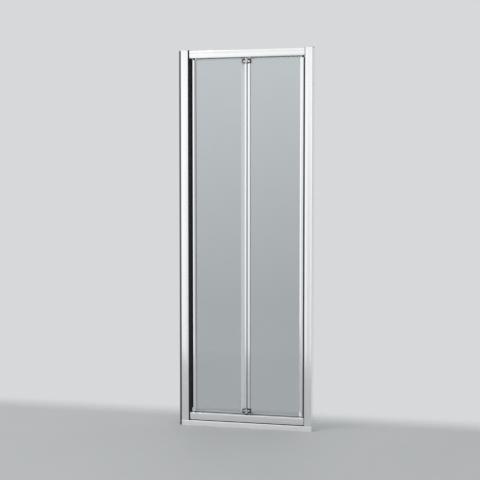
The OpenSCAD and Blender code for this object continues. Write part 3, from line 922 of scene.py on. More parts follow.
@dataclass
class DoorFrame:
    """Jambs, caps, wall profiles, sill, rails, linings and seals of the fixed frame."""

    layout: Layout
    leg: float = 2.5
    web: float = 2.0
    corner: float = 2.4
    crown: float = 0.5
    bevel: float = 1.6
    cap: float = 2.0
    lock_end: float = 230.0
    lock_inset: float = 5.5
    wall_hole: float = 2.75
    wall_hole_heights: tuple[float, ...] = (175.0, 675.0, 1175.0, 1675.0)
    left_notch: float = 17.0
    right_notch: float = 27.0
    head_hole: float = 4.2
    screw_hole: float = 2.2
    port_hole: float = 2.0
    port_round: float = 3.4
    jamb_port_out: float = 3.0
    jamb_port_in: float = 8.0
    rail_wall: float = 2.0
    track_front: float = 7.0
    track_back: float = 23.0
    bow: float = 0.85
    groove_depth: float = 0.28
    groove_width: float = 0.55
    block_screw: float = 26.6
    drain_places: tuple[float, ...] = (-150.0, 0.0, 150.0)
    ribs: int = 9
    sets: Sets = field(default_factory=lambda: Sets("frame"))

    def build(self) -> None:
        """Builds and dresses every piece of the frame."""
        for side in Side:
            self._jamb(side)
            self._wall_profile(side)
        self._caps()
        self._sill()
        self._gasket()
        self._rails()
        self._lining(Side.LEFT, "pivot_lining", BLACK_RUBBER)
        self._lining(Side.RIGHT, "closing_lining", DARK_RUBBER)
        self._closing_seal()
        self._lock_screws()
        self._block_screws()

    def _crowned(self) -> np.ndarray:
        """Front of a jamb's outline, which swells towards the room.

        Across the front the profile stands back by 0.9 * crown * s * s, with s from -1 to 1 between the
        two corner arcs, so the middle reaches furthest forward. The arc at the wall is the smaller one.

        Returns:
            Line of (reach, y) pairs from the inner side to the wall side.
        """
        low, high, front = self.layout.jamb_inner, self.layout.jamb_outer, -self.layout.half_depth
        share = np.linspace(-1, 1, 11)
        across = (low + high) / 2 + share * ((high - low) / 2 - self.corner)
        face = np.stack([across, front + self.crown * share**2 * 0.9], axis=-1)
        near, large, small = front + self.crown, self.corner, 0.7 * self.corner
        left = arc((low + large, near + large), large, 180, 270)
        right = arc((high - small, near + small), small, -90, 0)
        return np.concatenate([left, face, right])

    def _far_corner(self) -> np.ndarray:
        """Arc at the inner back corner of a jamb's outline, as (reach, y) pairs."""
        at, radius = self.layout, self.corner
        return arc((at.jamb_inner + radius, at.half_depth - radius), radius, 90, 180)

    def _port_rows(self) -> tuple[float, float]:
        """Places in Y of the screw ports of the jambs."""
        row = self.layout.half_depth - self.jamb_port_in
        return -row, row

    def _jamb(self, side: Side) -> None:
        """A channel that is open towards the wall, with two screw ports on its web.

        A port is a circle whose middle stands off the web, kept where it reaches past the web.

        Args:
            side: Side of the jamb.
        """
        at = self.layout
        high, deep, leg = at.jamb_outer, at.half_depth, at.half_depth - self.leg
        inner = at.jamb_inner + self.web
        port = inner + self.jamb_port_out
        half = math.degrees(math.acos(-self.jamb_port_out / self.port_round))
        loop = np.concatenate([
            self._crowned()[:-1], [(high, -leg), (inner, -leg)],
            *(arc((port, y), self.port_round, -half, half, 20) for y in self._port_rows()),
            [(inner, leg), (high, leg), (high, deep - self.bevel), (high - self.bevel, deep)],
            self._far_corner(),
        ])
        screw_x = at.centre + side.value * (high - self.lock_inset)
        foot, seat, over = deep - 4, deep - 1.6, deep + 1
        sink = [(0, foot), (2.1, foot), (2.1, seat), (3.8, deep), (3.8, over), (0, over)]
        port_x = at.centre + side.value * port
        through = at.across(side, at.jamb_inner - 1, inner + 0.5)
        cutters = [
            *(lathe(sink, Axis.Y, (height, screw_x)) for height in self._lock_heights()),
            *(
                drill(self.port_hole, Axis.Z, (port_x, y), at.jamb_foot - 1, at.jamb_top + 1)
                for y in self._port_rows()
            ),
            *(
                drill(self.screw_hole, Axis.X, (y, level), *through)
                for y, z in self._rail_ports()
                for level in (at.header_low + z, at.bottom_high - z)
            ),
        ]
        self.sets.put(
            f"jamb_{side.word}_extrusion",
            bar(at.upright(side, loop), Axis.Z, at.jamb_foot, at.jamb_top, 0.2),
            POLISHED_FRAME, [f"jamb_{side.word}"], cutters,
        )

    def _lock_heights(self) -> list[float]:
        """Heights of the lock screws: near both ends and at the middle of the jambs."""
        total = self.layout.jamb_top + self.cap
        return [self.lock_end, total / 2, total - self.lock_end]

    def _wall_profile(self, side: Side) -> None:
        """The channel on the wall, with four screw holes through its web.

        Args:
            side: Side of the channel.
        """
        node = f"wall_profile_{side.word}"
        low, high = span(node)
        thick, y = 1.6, high[1]
        web, tips = (low[0], high[0]) if side is Side.LEFT else (high[0], low[0])
        inside = web - side.value * thick
        loop = rounded(
            [(web, -y), (tips, -y), (tips, thick - y), (inside, thick - y), (inside, y - thick),
             (tips, y - thick), (tips, y), (web, y)],
            [0.5, 0.3, 0.3, 0.3, 0.3, 0.3, 0.3, 0.5], 3,
        )
        # The left channel is drawn in the dark copy: painted shade in the gap beside the wall; the right one
        # keeps the pale aluminium.
        self.sets.put(
            f"wall_channel_{side.word}", bar(loop, Axis.Z, low[2], high[2], 0.2),
            WALL_ALUMINIUM_PAINTED_SHADE if side is Side.LEFT else PALE_ALUMINIUM, [node],
            [drill(self.wall_hole, Axis.X, (0, z), web - 3, web + 3) for z in self.wall_hole_heights],
        )

    def _caps(self) -> None:
        """Covers of the open tops of the jambs, with two gripping tabs each."""
        at, radius, top = self.layout, self.corner, self.layout.jamb_top
        far = arc((at.jamb_outer - radius, at.half_depth - radius), radius, 0, 90)
        loop = np.concatenate([self._crowned(), far, self._far_corner()])
        plate = bar(at.upright(Side.LEFT, loop), Axis.Z, top, top + self.cap, 0.6, 4)
        tab = at.centre - at.jamb_inner - self.web - 0.2
        for y in (-13.0, 10.0):
            plate += block((tab - 12, y, top - 10), (tab, y + 3, top + 0.5))
        self.sets.put("jamb_top_caps", plate + plate.mirrored(0, at.centre), POLISHED_FRAME, ["jamb_caps"])

    def _sill(self) -> None:
        """The strip on the floor: two closed chambers, notched at both ends for the wall profiles."""
        at, wall = self.layout, self.rail_wall
        low, high = span("sill")
        deep, top = high[1], high[2]
        outer = rounded(rectangle((-deep, 0), (deep, top)), [0.5, 0.5, 2.4, 2.4], 7)
        cutters = [
            room((low[0] - 2, y, wall), (high[0] + 2, y + deep - 1.5 * wall, top - wall))
            for y in (wall - deep, wall / 2)
        ]
        notches = (low[0] - 1, low[0] + self.left_notch), (high[0] - self.right_notch, high[0] + 1)
        cutters += [room((start, wall - deep, -1), (end, deep - wall, top + 1)) for start, end in notches]
        for side in Side:
            x = at.centre + side.value * (at.jamb_inner + self.web + self.jamb_port_out)
            for place in ((x, y) for y in self._port_rows()):
                cutters += [
                    drill(self.head_hole, Axis.Z, place, -1, wall + 1),
                    drill(self.screw_hole, Axis.Z, place, top - wall - 1, top + 1),
                ]
        self.sets.put(
            "sill_extrusion", bar(outer, Axis.X, low[0], high[0], 0.2), SATIN_SILL, ["sill"], cutters
        )

    def _gasket(self) -> None:
        """Black strip between the sill and the bottom rail, with a soft lip at its front."""
        low, high = span("sill_gasket")
        lip = low[1] - 6.8
        loop = [
            (lip, low[2] + 0.05), (high[1], low[2]), (high[1], high[2]), (low[1], high[2]),
            (low[1] - 0.4, low[2] + 1.8), (lip, low[2] + 1.0),
        ]
        radii = [0.4, 0.8, 0.8, 0.8, 0.8, 0.4]
        self.sets.strip("sill_gasket_strip", "sill_gasket", Axis.X, loop, radii, BLACK_RUBBER, steps=5)

    def _rail_ports(self) -> list[tuple[float, float]]:
        """Places (y, z) of the two screw ports in the section of a rail about z = 0."""
        return [(self.layout.rail_front + 6, 5.0), (self.track_front - 5, self.layout.rail_height - 5)]

    def _rail_loop(self) -> np.ndarray:
        """Section of a rail about z = 0, open downwards: bowed front, shallow groove and track channel.

        The front stands back by bow * s * s, with s from -1 to 1 over the height. The groove adds its
        depth times exp(-(d / width)^2), where d is the distance from its middle at s = 0.16.

        Returns:
            Loop of (y, z) pairs.
        """
        at = self.layout
        height, seam, top = at.rail_height, at.rail_front + 12, at.rail_height - self.rail_wall
        share = np.linspace(1, -1, 41)
        groove = self.groove_depth * np.exp(-(((share - 0.16) * height / 2) / self.groove_width) ** 2)
        front = np.stack(
            [at.rail_front + self.bow * share**2 + groove, height * (1 + share) / 2], axis=-1
        )
        front[[0, -1]] += (0.35, 0.0)
        rest = rounded(
            [(seam, 0), (self.track_front, 0), (self.track_front, top), (self.track_back, top),
             (self.track_back, 0), (at.rail_back, 0), (at.rail_back, height), (seam, height)],
            [0, 0.4, 0.4, 0.4, 0.5, 0.5, 0.8, 0], 4,
        )
        first = int(np.argmin(np.hypot(rest[:, 0] - seam, rest[:, 1])))
        return np.concatenate([front, np.roll(rest, -first, axis=0)])

    def _rail_chamber(self) -> np.ndarray:
        """Section of the front chamber of a rail about z = 0, with a round screw port in two corners.

        A port leaves the arc of its circle between the two points where the circle meets the walls.

        Returns:
            Loop of (y, z) pairs.
        """
        near, far = self._rail_ports()
        front, back = self.layout.rail_front + 4, self.track_front - 2
        return np.concatenate([
            arc(near, self.port_round, 126.0, -61.9, 12), [(back, self.rail_wall)],
            arc(far, self.port_round, -28.1, -241.9, 12),
            [(front, self.layout.rail_height - self.rail_wall)],
        ])

    def _rails(self) -> None:
        """Header rail, and the bottom rail as the same section turned over, with drain slots."""
        at, foot, back = self.layout, self.layout.bottom_low, self.layout.rail_back
        x0, x1 = at.centre - at.rail_end, at.centre + at.rail_end
        parts = [
            bar(self._rail_loop(), Axis.X, x0, x1, 0.15),
            prism(self._rail_chamber(), Axis.X, x0 - 1, x1 + 1),
            *(drill(self.port_hole, Axis.X, port, x0 - 1, x1 + 1) for port in self._rail_ports()),
            drill(self.screw_hole, Axis.Y, (at.rail_height / 2, x0 + self.block_screw), back - 3, back + 3),
        ]
        rail, *cutters = [part.moved(z=at.header_low) for part in parts]
        self.sets.put("header_rail_extrusion", rail, POLISHED_RAIL, ["header_rail"], cutters)
        rail, *cutters = [part.mirrored(2, 0).moved(z=at.bottom_high) for part in parts]
        cutters += [
            room((x - 10, self.track_back - 1, foot + 2), (x + 10, back + 1, foot + 6))
            for x in (at.centre + place for place in self.drain_places)
        ]
        corner = prism(
            [(foot - 1, x0 - 1), (foot + 4, x0 - 1), (foot - 1, x0 + 4)], Axis.Y, at.rail_front - 1, back + 1
        )
        cutters += [corner, corner.mirrored(0, at.centre)]
        self.sets.put("bottom_rail_extrusion", rail, POLISHED_RAIL, ["bottom_rail"], cutters)

    def _lining(self, side: Side, node: str, finish: Finish) -> None:
        """Strip on the inner face of a jamb, with shallow ribs.

        The ribs are a raised cosine over the width. The one on the left has a thin fin at its back,
        which hides the slot beside the pivot stile and stays clear of the leaf when it stands open.

        Args:
            side: Side of the jamb.
            node: CAD node of the strip.
            finish: Finish of the strip.
        """
        at, reach = self.layout, self.layout.rail_end
        low, high = span(node)
        thick, back = high[0] - low[0], high[1]
        y = np.linspace(low[1] + 0.8, back - 0.8, 59)
        rib = 0.25 - 0.25 * np.cos((y - y[0]) / (y[-1] - y[0]) * 2 * math.pi * self.ribs)
        rest = [(reach + 0.8, back), (reach + thick, back), (reach + thick, low[1]), (reach + 0.8, low[1])]
        loop = np.concatenate([np.stack([reach + rib * 0.6, y], axis=-1), rest])
        root, tip = reach + 1, reach - 4.3
        blade = [(root, back - 1.2), (tip, back - 0.8), (tip, back - 0.3), (root, back - 0.1)]
        fin = prism(at.upright(side, blade), Axis.Z, at.bottom_high + 15, at.header_low - 1)
        self.sets.put(
            f"{node}_strip", bar(at.upright(side, loop), Axis.Z, low[2], high[2], 0.2), finish, [node],
            joined=[fin] if side is Side.LEFT else [],
        )

    def _closing_seal(self) -> None:
        """Magnetic strip on the closing jamb: a sleeve with a bevelled nose."""
        low, high = span("closing_seal")
        nose = low[0] + 1.4
        loop = [
            (low[0], low[1] + 1.6), (nose, low[1]), (high[0], low[1]), (high[0], high[1]), (nose, high[1]),
            (low[0], high[1] - 1.6),
        ]
        self.sets.strip("closing_seal_strip", "closing_seal", Axis.Z, loop, 0.4, MAGNET_STRIP, steps=3)

    def _lock_screws(self) -> None:
        """Countersunk screws that lock the jambs on the wall profiles."""
        at, deep = self.layout, self.layout.half_depth
        head = cross_head(3.4, 0.25, 1.0, 1.8).moved(y=deep - 0.3)
        shank = drill(1.85, Axis.Y, (0, 0), deep - 11, deep - 1.6, 24)
        one = (head + shank).moved(x=at.centre - at.jamb_outer + self.lock_inset)
        pair = one + one.mirrored(0, at.centre)
        screws = together([pair.moved(z=height) for height in self._lock_heights()])
        self.sets.put("jamb_lock_screw_set", screws, TURNED_STEEL, ["jamb_lock_screws"])

    def _block_screws(self) -> None:
        """Pan head screws at the back of the rails, which hold the pivot blocks."""
        at = self.layout
        low, high = span("pivot_block_screws")
        head = cross_head(3.6, 2.15, 1.3, 0.2).moved(y=at.rail_back)
        shank = drill(1.98, Axis.Y, (0, 0), low[1], at.rail_back, 24)
        one = (head + shank).moved(x=(low[0] + high[0]) / 2)
        middles = (at.header_low + at.header_high) / 2, (at.bottom_low + at.bottom_high) / 2
        screws = together([one.moved(z=middle) for middle in middles])
        self.sets.put("pivot_block_screw_set", screws, TURNED_STEEL, ["pivot_block_screws"])


# ---------------------------------------------------------------- the leaves


@dataclass
class Leaf:
    """One glass leaf: pane, stiles, glazing channels and seals."""

    layout: Layout
    side: Side
    glass_front: float = 12.5
    glass_back: float = 17.5
    stile_front: float = 4.0
    stile_back: float = 26.0
    stile_width: float = 17.0
    stile_pocket: float = 12.2
    pocket_front: float = 10.7
    pocket_back: float = 19.3
    pocket_play: float = 0.1
    bead_inner: float = 2.4
    bead_outer: float = 12.6
    bead_pocket: float = 5.0
    wall: float = 1.6

    @property
    def sets(self) -> Sets:
        """What puts pieces on the body of this leaf."""
        return Sets(self.side.body)

    def build(self) -> None:
        """Builds and dresses every piece of the leaf."""
        self._glass()
        self._outer_stile()
        self._hinge_stile()
        self._glazing()
        self._top_seal()
        self._drip_seal()
        if self.side is Side.LEFT:
            self._cover_strip()
            self._centre_seal()
        else:
            self._magnet()

    def _along(self, loop: Loop, low: float, high: float) -> Surface:
        """Carries a loop of (reach, y) pairs upwards on this leaf's side."""
        return bar(self.layout.upright(self.side, loop), Axis.Z, low, high, 0.2)

    def _stile(self, name: str, node: str, loop: Loop, chambers: Sequence[Surface]) -> None:
        """Makes a stile of this leaf.

        Args:
            name: Last words of the piece's name.
            node: Last words of the name of the CAD node.
            loop: Section as (reach, y) pairs.
            chambers: Surfaces to take out of it.
        """
        leaf, at = self.side.leaf, self.layout
        stile = self._along(loop, at.stile_low, at.stile_high)
        self.sets.put(f"{leaf}_{name}", stile, POLISHED_STILE, [f"{leaf}_{node}"], chambers)

    def _chamber(self, near: float, far: float, front: float, back: float) -> Surface:
        """Cutter for a chamber through both ends of a stile.

        Args:
            near: Reach of one side.
            far: Reach of the other side.
            front: Lower place in Y.
            back: Higher place in Y.

        Returns:
            The cutter.
        """
        ends = self.layout.across(self.side, near, far)
        return room((ends[0], front, self.layout.stile_low - 1), (ends[1], back, self.layout.stile_high + 1))

    def _glass(self) -> None:
        """The pane, with ground edges."""
        node = f"{self.side.leaf}_glass"
        loop = rectangle(*span(node))
        self.sets.strip(f"{self.side.leaf}_pane", node, Axis.Z, loop, 0.7, CLEAR_GLASS, 0.7, 3)

    def _outer_stile(self) -> None:
        """The stile at the jamb: a rounded bar with sloping noses on both sides of the glass pocket."""
        out, inn = self.layout.leaf_outer, self.layout.leaf_outer - self.stile_width
        front, back, deep = self.stile_front, self.stile_back, out - self.stile_pocket
        near, far = self.pocket_front, self.pocket_back
        loop = rounded(
            [(out, front), (out, back), (inn + 6, back), (inn, back - 3.94), (inn, far), (deep, far),
             (deep, near), (inn, near), (inn, front + 5.0), (inn + 7.6, front)],
            [2.4, 2.4, 1.6, 0.6, 0.3, 0.3, 0.3, 0.3, 0.5, 1.2], 6,
        )
        wall = self.wall
        chamber = self._chamber(deep + wall, out - wall, front + wall, back - wall)
        self._stile("outer_stile", "stile", loop, [chamber])

    def _hinge_stile(self) -> None:
        """The centre stile: a proud rounded bead with a pocket for the glass and three chambers."""
        low, high, back, wall = self.bead_inner, self.bead_outer, self.stile_back, self.wall
        near, far, deep = self.pocket_front, self.pocket_back, high - self.bead_pocket
        loop = rounded(
            [(low, 0), (high - 2.7, 0), (high, 0.98), (high, near), (deep, near), (deep, far), (high, far),
             (high, back), (low, back)],
            [0.9, 2.0, 0.8, 0.4, 0.2, 0.2, 0.4, 2.0, 2.0], 8,
        )
        self._stile("centre_stile", "hinge_stile", loop, [
            self._chamber(low + wall, high - wall, 2 * wall, near - wall),
            self._chamber(low + wall, deep - wall, near, far),
            self._chamber(low + wall, high - wall, far + wall, back - wall),
        ])

    def _glazing(self) -> None:
        """Rubber channels round the upright edges of the pane, with lips that lean on the glass."""
        leaf, out, inn = self.side.leaf, self.layout.leaf_outer, self.layout.leaf_outer - self.stile_width
        low, high = span(f"{leaf}_glazing")
        near, far = self.pocket_front + self.pocket_play, self.pocket_back - self.pocket_play
        front, back = self.glass_front, self.glass_back
        seat, bed = out - self.stile_pocket - self.pocket_play, out - 13.6
        channel = rounded(
            [(seat, near), (seat, far), (inn + 0.2, far), (inn - 0.3, far - 0.8), (inn, back), (bed, back),
             (bed, front), (inn, front), (inn - 0.3, near + 0.8), (inn + 0.2, near)],
            [0.4, 0.4, 0.2, 0.2, 0.1, 0.1, 0.1, 0.1, 0.2, 0.2], 3,
        )
        tip, seat = self.bead_outer + 0.2, self.bead_outer - self.bead_pocket + self.pocket_play
        bed = seat + 1.1
        inner = rounded(
            [(seat, near), (tip - 0.4, near), (tip, near + 0.8), (tip - 0.3, front), (bed, front),
             (bed, back), (tip - 0.3, back), (tip, far - 0.8), (tip - 0.4, far), (seat, far)],
            [0.3, 0.2, 0.2, 0.1, 0.1, 0.1, 0.1, 0.2, 0.2, 0.3], 3,
        )
        surface = together([self._along(loop, low[2], high[2]) for loop in (channel, inner)])
        self.sets.put(f"{leaf}_glazing_channels", surface, GLAZING_RUBBER, [f"{leaf}_glazing"])

    def _top_seal(self) -> None:
        """Seal that sits astride the top edge of the pane and sweeps the header with a rounded blade."""
        node = f"{self.side.leaf}_top_seal"
        low, high = span(node)
        front, back, foot, top = self.glass_front, self.glass_back, low[2], high[2]
        seat, shoulder, waist = foot + 1.5, top - 2.4, top - 1.2
        loop = [
            (low[1], foot), (front, foot), (front, seat), (back, seat), (back, foot), (high[1], foot),
            (high[1], shoulder), (17.4, waist), (17.0, top), (13.0, top), (12.6, waist), (low[1], shoulder),
        ]
        radii = [0.3, 0.2, 0.1, 0.1, 0.2, 0.3, 0.6, 0.5, 0.6, 0.6, 0.5, 0.6]
        # Painted light: the top seal takes the pale opaque copy of the clear seal, which lifts the shade
        # under the header.
        self.sets.strip(f"{node}_strip", node, Axis.X, loop, radii, TOP_SEAL_PAINTED_LIGHT)

    def _drip_seal(self) -> None:
        """Seal on the bottom edge of the pane, with a drip lip towards the shower."""
        node = f"{self.side.leaf}_drip_seal"
        low, high = span(node)
        front, back, foot, top = self.glass_front, self.glass_back, low[2], high[2]
        seat, wall = top - 6, high[1] - 4
        loop = [
            (low[1], foot), (high[1], foot), (high[1] - 0.4, foot + 1.2), (wall, foot + 1.6),
            (wall, top - 0.3), (back, top), (back, seat), (front, seat), (front, top), (low[1], top - 0.3),
        ]
        radii = [0.5, 0.3, 0.4, 0.3, 0.6, 0.1, 0.1, 0.1, 0.1, 0.6]
        self.sets.strip(f"{node}_strip", node, Axis.X, loop, radii, CLEAR_SEAL)

    def _cover_strip(self) -> None:
        """The pale strip on the front of the glass beside the centre bead, with rolled long edges."""
        low, high = span("pivot_cover_strip")
        roll = low[1] + 0.6
        loop = [
            (low[0], high[1]), (low[0], roll), (low[0] + 0.8, low[1]), (high[0] - 0.8, low[1]),
            (high[0], roll), (high[0], high[1]),
        ]
        self.sets.strip("pivot_pale_strip", "pivot_cover_strip", Axis.Z, loop, 0.25, PALE_STRIP, 0.2, 3)

    def _centre_seal(self) -> None:
        """Soft bulb on a thin foot, in the gap between the two beads."""
        low, high = span("centre_seal")
        foot, radius = low[0] + 1.2, high[0] - low[0] - 1
        meet = math.degrees(math.acos(0.2 / radius))
        bulb = arc((low[0] + 1, (low[1] + high[1]) / 2), radius, -meet, meet, 28)
        loop = np.concatenate([bulb, [(foot, high[1]), (low[0], high[1]), (low[0], low[1]), (foot, low[1])]])
        seal = bar(loop, Axis.Z, low[2], high[2], 0.2)
        self.sets.put("centre_bulb_seal", seal, CLEAR_SEAL, ["centre_seal"])

    def _magnet(self) -> None:
        """Flexible magnet on the outer face of the leading stile."""
        low, high = span("leading_magnet")
        side = high[0] - 0.6
        loop = [
            (low[0], low[1]), (side, low[1]), (high[0], low[1] + 1.4), (high[0], high[1] - 1.4),
            (side, high[1]), (low[0], high[1]),
        ]
        self.sets.strip("leading_magnet_strip", "leading_magnet", Axis.Z, loop, 0.35, MAGNET_STRIP)


# ---------------------------------------------------------------- the hinges


@dataclass
class Hinges:
    """The two centre hinges: moulded halves, bright plates with knuckles, and pin caps."""

    layout: Layout
    half_width: float = 21.0
    barrel: float = 4.4
    bore: float = 2.03
    clear: float = 4.9
    plate_reach: float = 16.7
    plate_low: float = 4.1
    plate_height: float = 7.6
    plate_thick: float = 2.0
    web_reach: float = 7.6
    screw_reach: float = 8.7
    eye: float = 6.4
    gap: float = 0.3
    foot: float = 5.0
    left_foot: float = 12.7
    right_foot: float = 14.1
    dome: float = 1.9

    @property
    def pin(self) -> tuple[float, float]:
        """Place (x, y) of the hinge axis."""
        return self.layout.centre, self.layout.hinge_face + 0.2

    def build(self) -> None:
        """Builds and dresses every piece of both hinges."""
        for side in Side:
            self._bodies(side)
            self._plates(side)
        self._caps()

    def _both(self, surface: Surface) -> Surface:
        """The surface and its mirror image about the middle height."""
        return surface + surface.mirrored(2, self.layout.hinge_middle)

    def _sided(self, surface: Surface, side: Side) -> Surface:
        """A surface drawn on the left side, on the side asked for."""
        return surface if side is Side.LEFT else surface.mirrored(0, self.layout.centre)

    def _faceplate(self, loop: Loop, radius: float, front: float, back: float, edge: float) -> Surface:
        """Carries a front outline of (reach, z) pairs backwards along Y.

        Args:
            loop: Outline on the left side.
            radius: Radius of its corners.
            front: Place of the front face.
            back: Place of the back face.
            edge: Radius of the front and back edges.

        Returns:
            The closed plate on the left side.
        """
        pair = rounded(loop, radius, 5)
        turned = np.stack([pair[:, 1], self.layout.centre - pair[:, 0]], axis=-1)
        return bar(turned, Axis.Y, front, back, edge, 4)

    def _bodies(self, side: Side) -> None:
        """Black moulded halves with a foot beside the bead, a pocket for the plate and a screw hole.

        Args:
            side: Side of the halves.
        """
        at, wide = self.layout, self.half_width
        low, high, face = at.hinge_low, at.hinge_high, at.hinge_face
        floor, z0 = face + self.plate_thick + 0.1, low + self.plate_low
        outline = [
            (wide, low), (self.clear, low), (self.clear, high), (wide - 8, high - 2.5), (wide, high - 6)
        ]
        foot_back = span(f"hinge_body_top_{side.word}")[1][1]
        beside = at.centre - (self.left_foot if side is Side.LEFT else self.right_foot)
        screw = z0 + self.plate_height / 2, at.centre - self.screw_reach
        parts = [
            self._faceplate(outline, 1.2, face, -0.05, 0.9),
            block((beside - self.foot, -2.0, low + 2.3), (beside, foot_back, high - 7), 0.8, 0.6),
            room(
                (at.centre - self.plate_reach - 0.1, face - 1, z0 - 0.1),
                (at.centre, floor, z0 + self.plate_height + 0.1),
            ),
            room((at.centre - self.web_reach - 0.1, face - 1, low - 1), (at.centre, floor + 0.02, high + 1)),
            drill(3.1, Axis.Y, screw, face - 1, face + 4.6),
            drill(1.95, Axis.Y, screw, face + 3, 1),
        ]
        parts = [self._sided(part, side) for part in parts]
        turned = [part.mirrored(2, at.hinge_middle) for part in parts]
        for level, (moulded, foot, *cutters) in (("top", parts), ("bottom", turned)):
            Sets(side.body).put(
                f"hinge_{level}_{side.word}_moulding", moulded, BLACK_NYLON,
                [f"hinge_body_{level}_{side.word}"], cutters, [foot], sharp=40.0,
            )

    def _knuckle(self, low: float, high: float) -> Surface:
        """A round eye about the pin with a short bridge to the plate.

        Args:
            low: Height of its lower end.
            high: Height of its upper end.

        Returns:
            The eye and its bridge on the left side.
        """
        at, r, bevel = self.layout, self.barrel, 0.5
        loop = [
            (self.bore, low), (r - bevel, low), (r, low + bevel), (r, high - bevel), (r - bevel, high),
            (self.bore, high),
        ]
        start = at.centre - self.clear - 0.5, at.hinge_face + 0.3, low + 0.3
        end = at.centre - 3.0, at.hinge_face + 1.8, high - 0.3
        eye = ring(rounded(loop, [0, 0.2, 0.2, 0.2, 0.2, 0], 3), Axis.Z, self.pin)
        return eye + block(start, end, 0.2, 0.15)

    def _plates(self, side: Side) -> None:
        """Bright plates set in the mouldings, with their knuckles round the pin.

        Args:
            side: Side of the plates.
        """
        at = self.layout
        low, high, face = at.hinge_low, at.hinge_high, at.hinge_face
        z0, back = low + self.plate_low, face + self.plate_thick
        outline = rectangle((self.plate_reach, z0), (self.clear, z0 + self.plate_height))
        if side is Side.LEFT:
            spans, web = [(low, low + self.eye), (high - self.eye, high)], (low, high)
        else:
            end = high - self.eye - self.gap
            spans, web = [(low + self.eye + self.gap, end)], (z0, end)
        surface = together([
            self._faceplate(outline, 0.9, face - 0.2, back, 0.35),
            block((at.centre - self.web_reach, face - 0.1, web[0]), (at.centre - self.clear, back, web[1])),
            *(self._knuckle(*ends) for ends in spans),
        ])
        Sets(side.body).put(
            f"hinge_plates_{side.word}", self._both(self._sided(surface, side)), PLATED_HINGE,
            [f"hinge_knuckles_{side.word}"],
        )

    def _caps(self) -> None:
        """Domed black caps on the outer ends of the hinge pins."""
        low, high = self.layout.hinge_high, span("hinge_pin_caps")[1][2]
        r, dome = self.barrel, self.dome
        outline = np.concatenate([
            [(0, low + 1.5), (2.1, low + 1.5), (2.1, low), (r - 0.3, low), (r, low + 0.3)],
            arc((r - dome, high - dome), dome, 0, 90, 8), [(0, high)],
        ])
        cap = self._both(lathe(outline, Axis.Z, self.pin))
        Sets(Side.LEFT.body).put("hinge_pin_domes", cap, BLACK_NYLON, ["hinge_pin_caps"])


# ---------------------------------------------------------------- the rollers


@dataclass
class GuideRollers:
    """The two guide rollers at the top and the bottom of the leading stile."""

    radius: float = 7.5
    bore: float = 2.55
    edge: float = 0.6
    sink: float = 0.5

    def build(self) -> None:
        """Builds both rollers: a tread with a shallow groove and a hub ring on each face."""
        r, edge, sink = self.radius, self.edge, self.sink
        for node in ("roller_top", "roller_bottom"):
            low, high = span(node)
            foot, middle = low[2], (low[2] + high[2]) / 2
            half = [
                (self.bore, foot), (4.2, foot), (4.5, foot + sink), (6.2, foot + sink), (6.5, foot),
                (r - edge, foot), (r, foot + edge), (r, middle - 1.2), (r - sink, middle - 0.6),
            ]
            loop = half + [(reach, 2 * middle - z) for reach, z in reversed(half)]
            centre = ((low[0] + high[0]) / 2, (low[1] + high[1]) / 2)
            wheel = ring(rounded(loop, 0.15, 3), Axis.Z, centre)
            Sets(f"guide_{node}").put(f"guide_{node}_wheel", wheel, WHITE_NYLON, [node])


# ---------------------------------------------------------------- carried-over nodes


def dress_nodes() -> None:
    """Gives every CAD node that still shows the finish of its material slot."""
    slots = {part["node"]: part["material_slot"] for part in frame["record"]["subparts"]}
    for name, node in sorted(frame["nodes"].items()):
        finish = FINISH_OF_SLOT[slots[name]]
        node.data.materials.clear()
        node.data.materials.append(finish.material())
        LOG.info("%s: %s", name, finish.name)


# ---------------------------------------------------------------- the studio


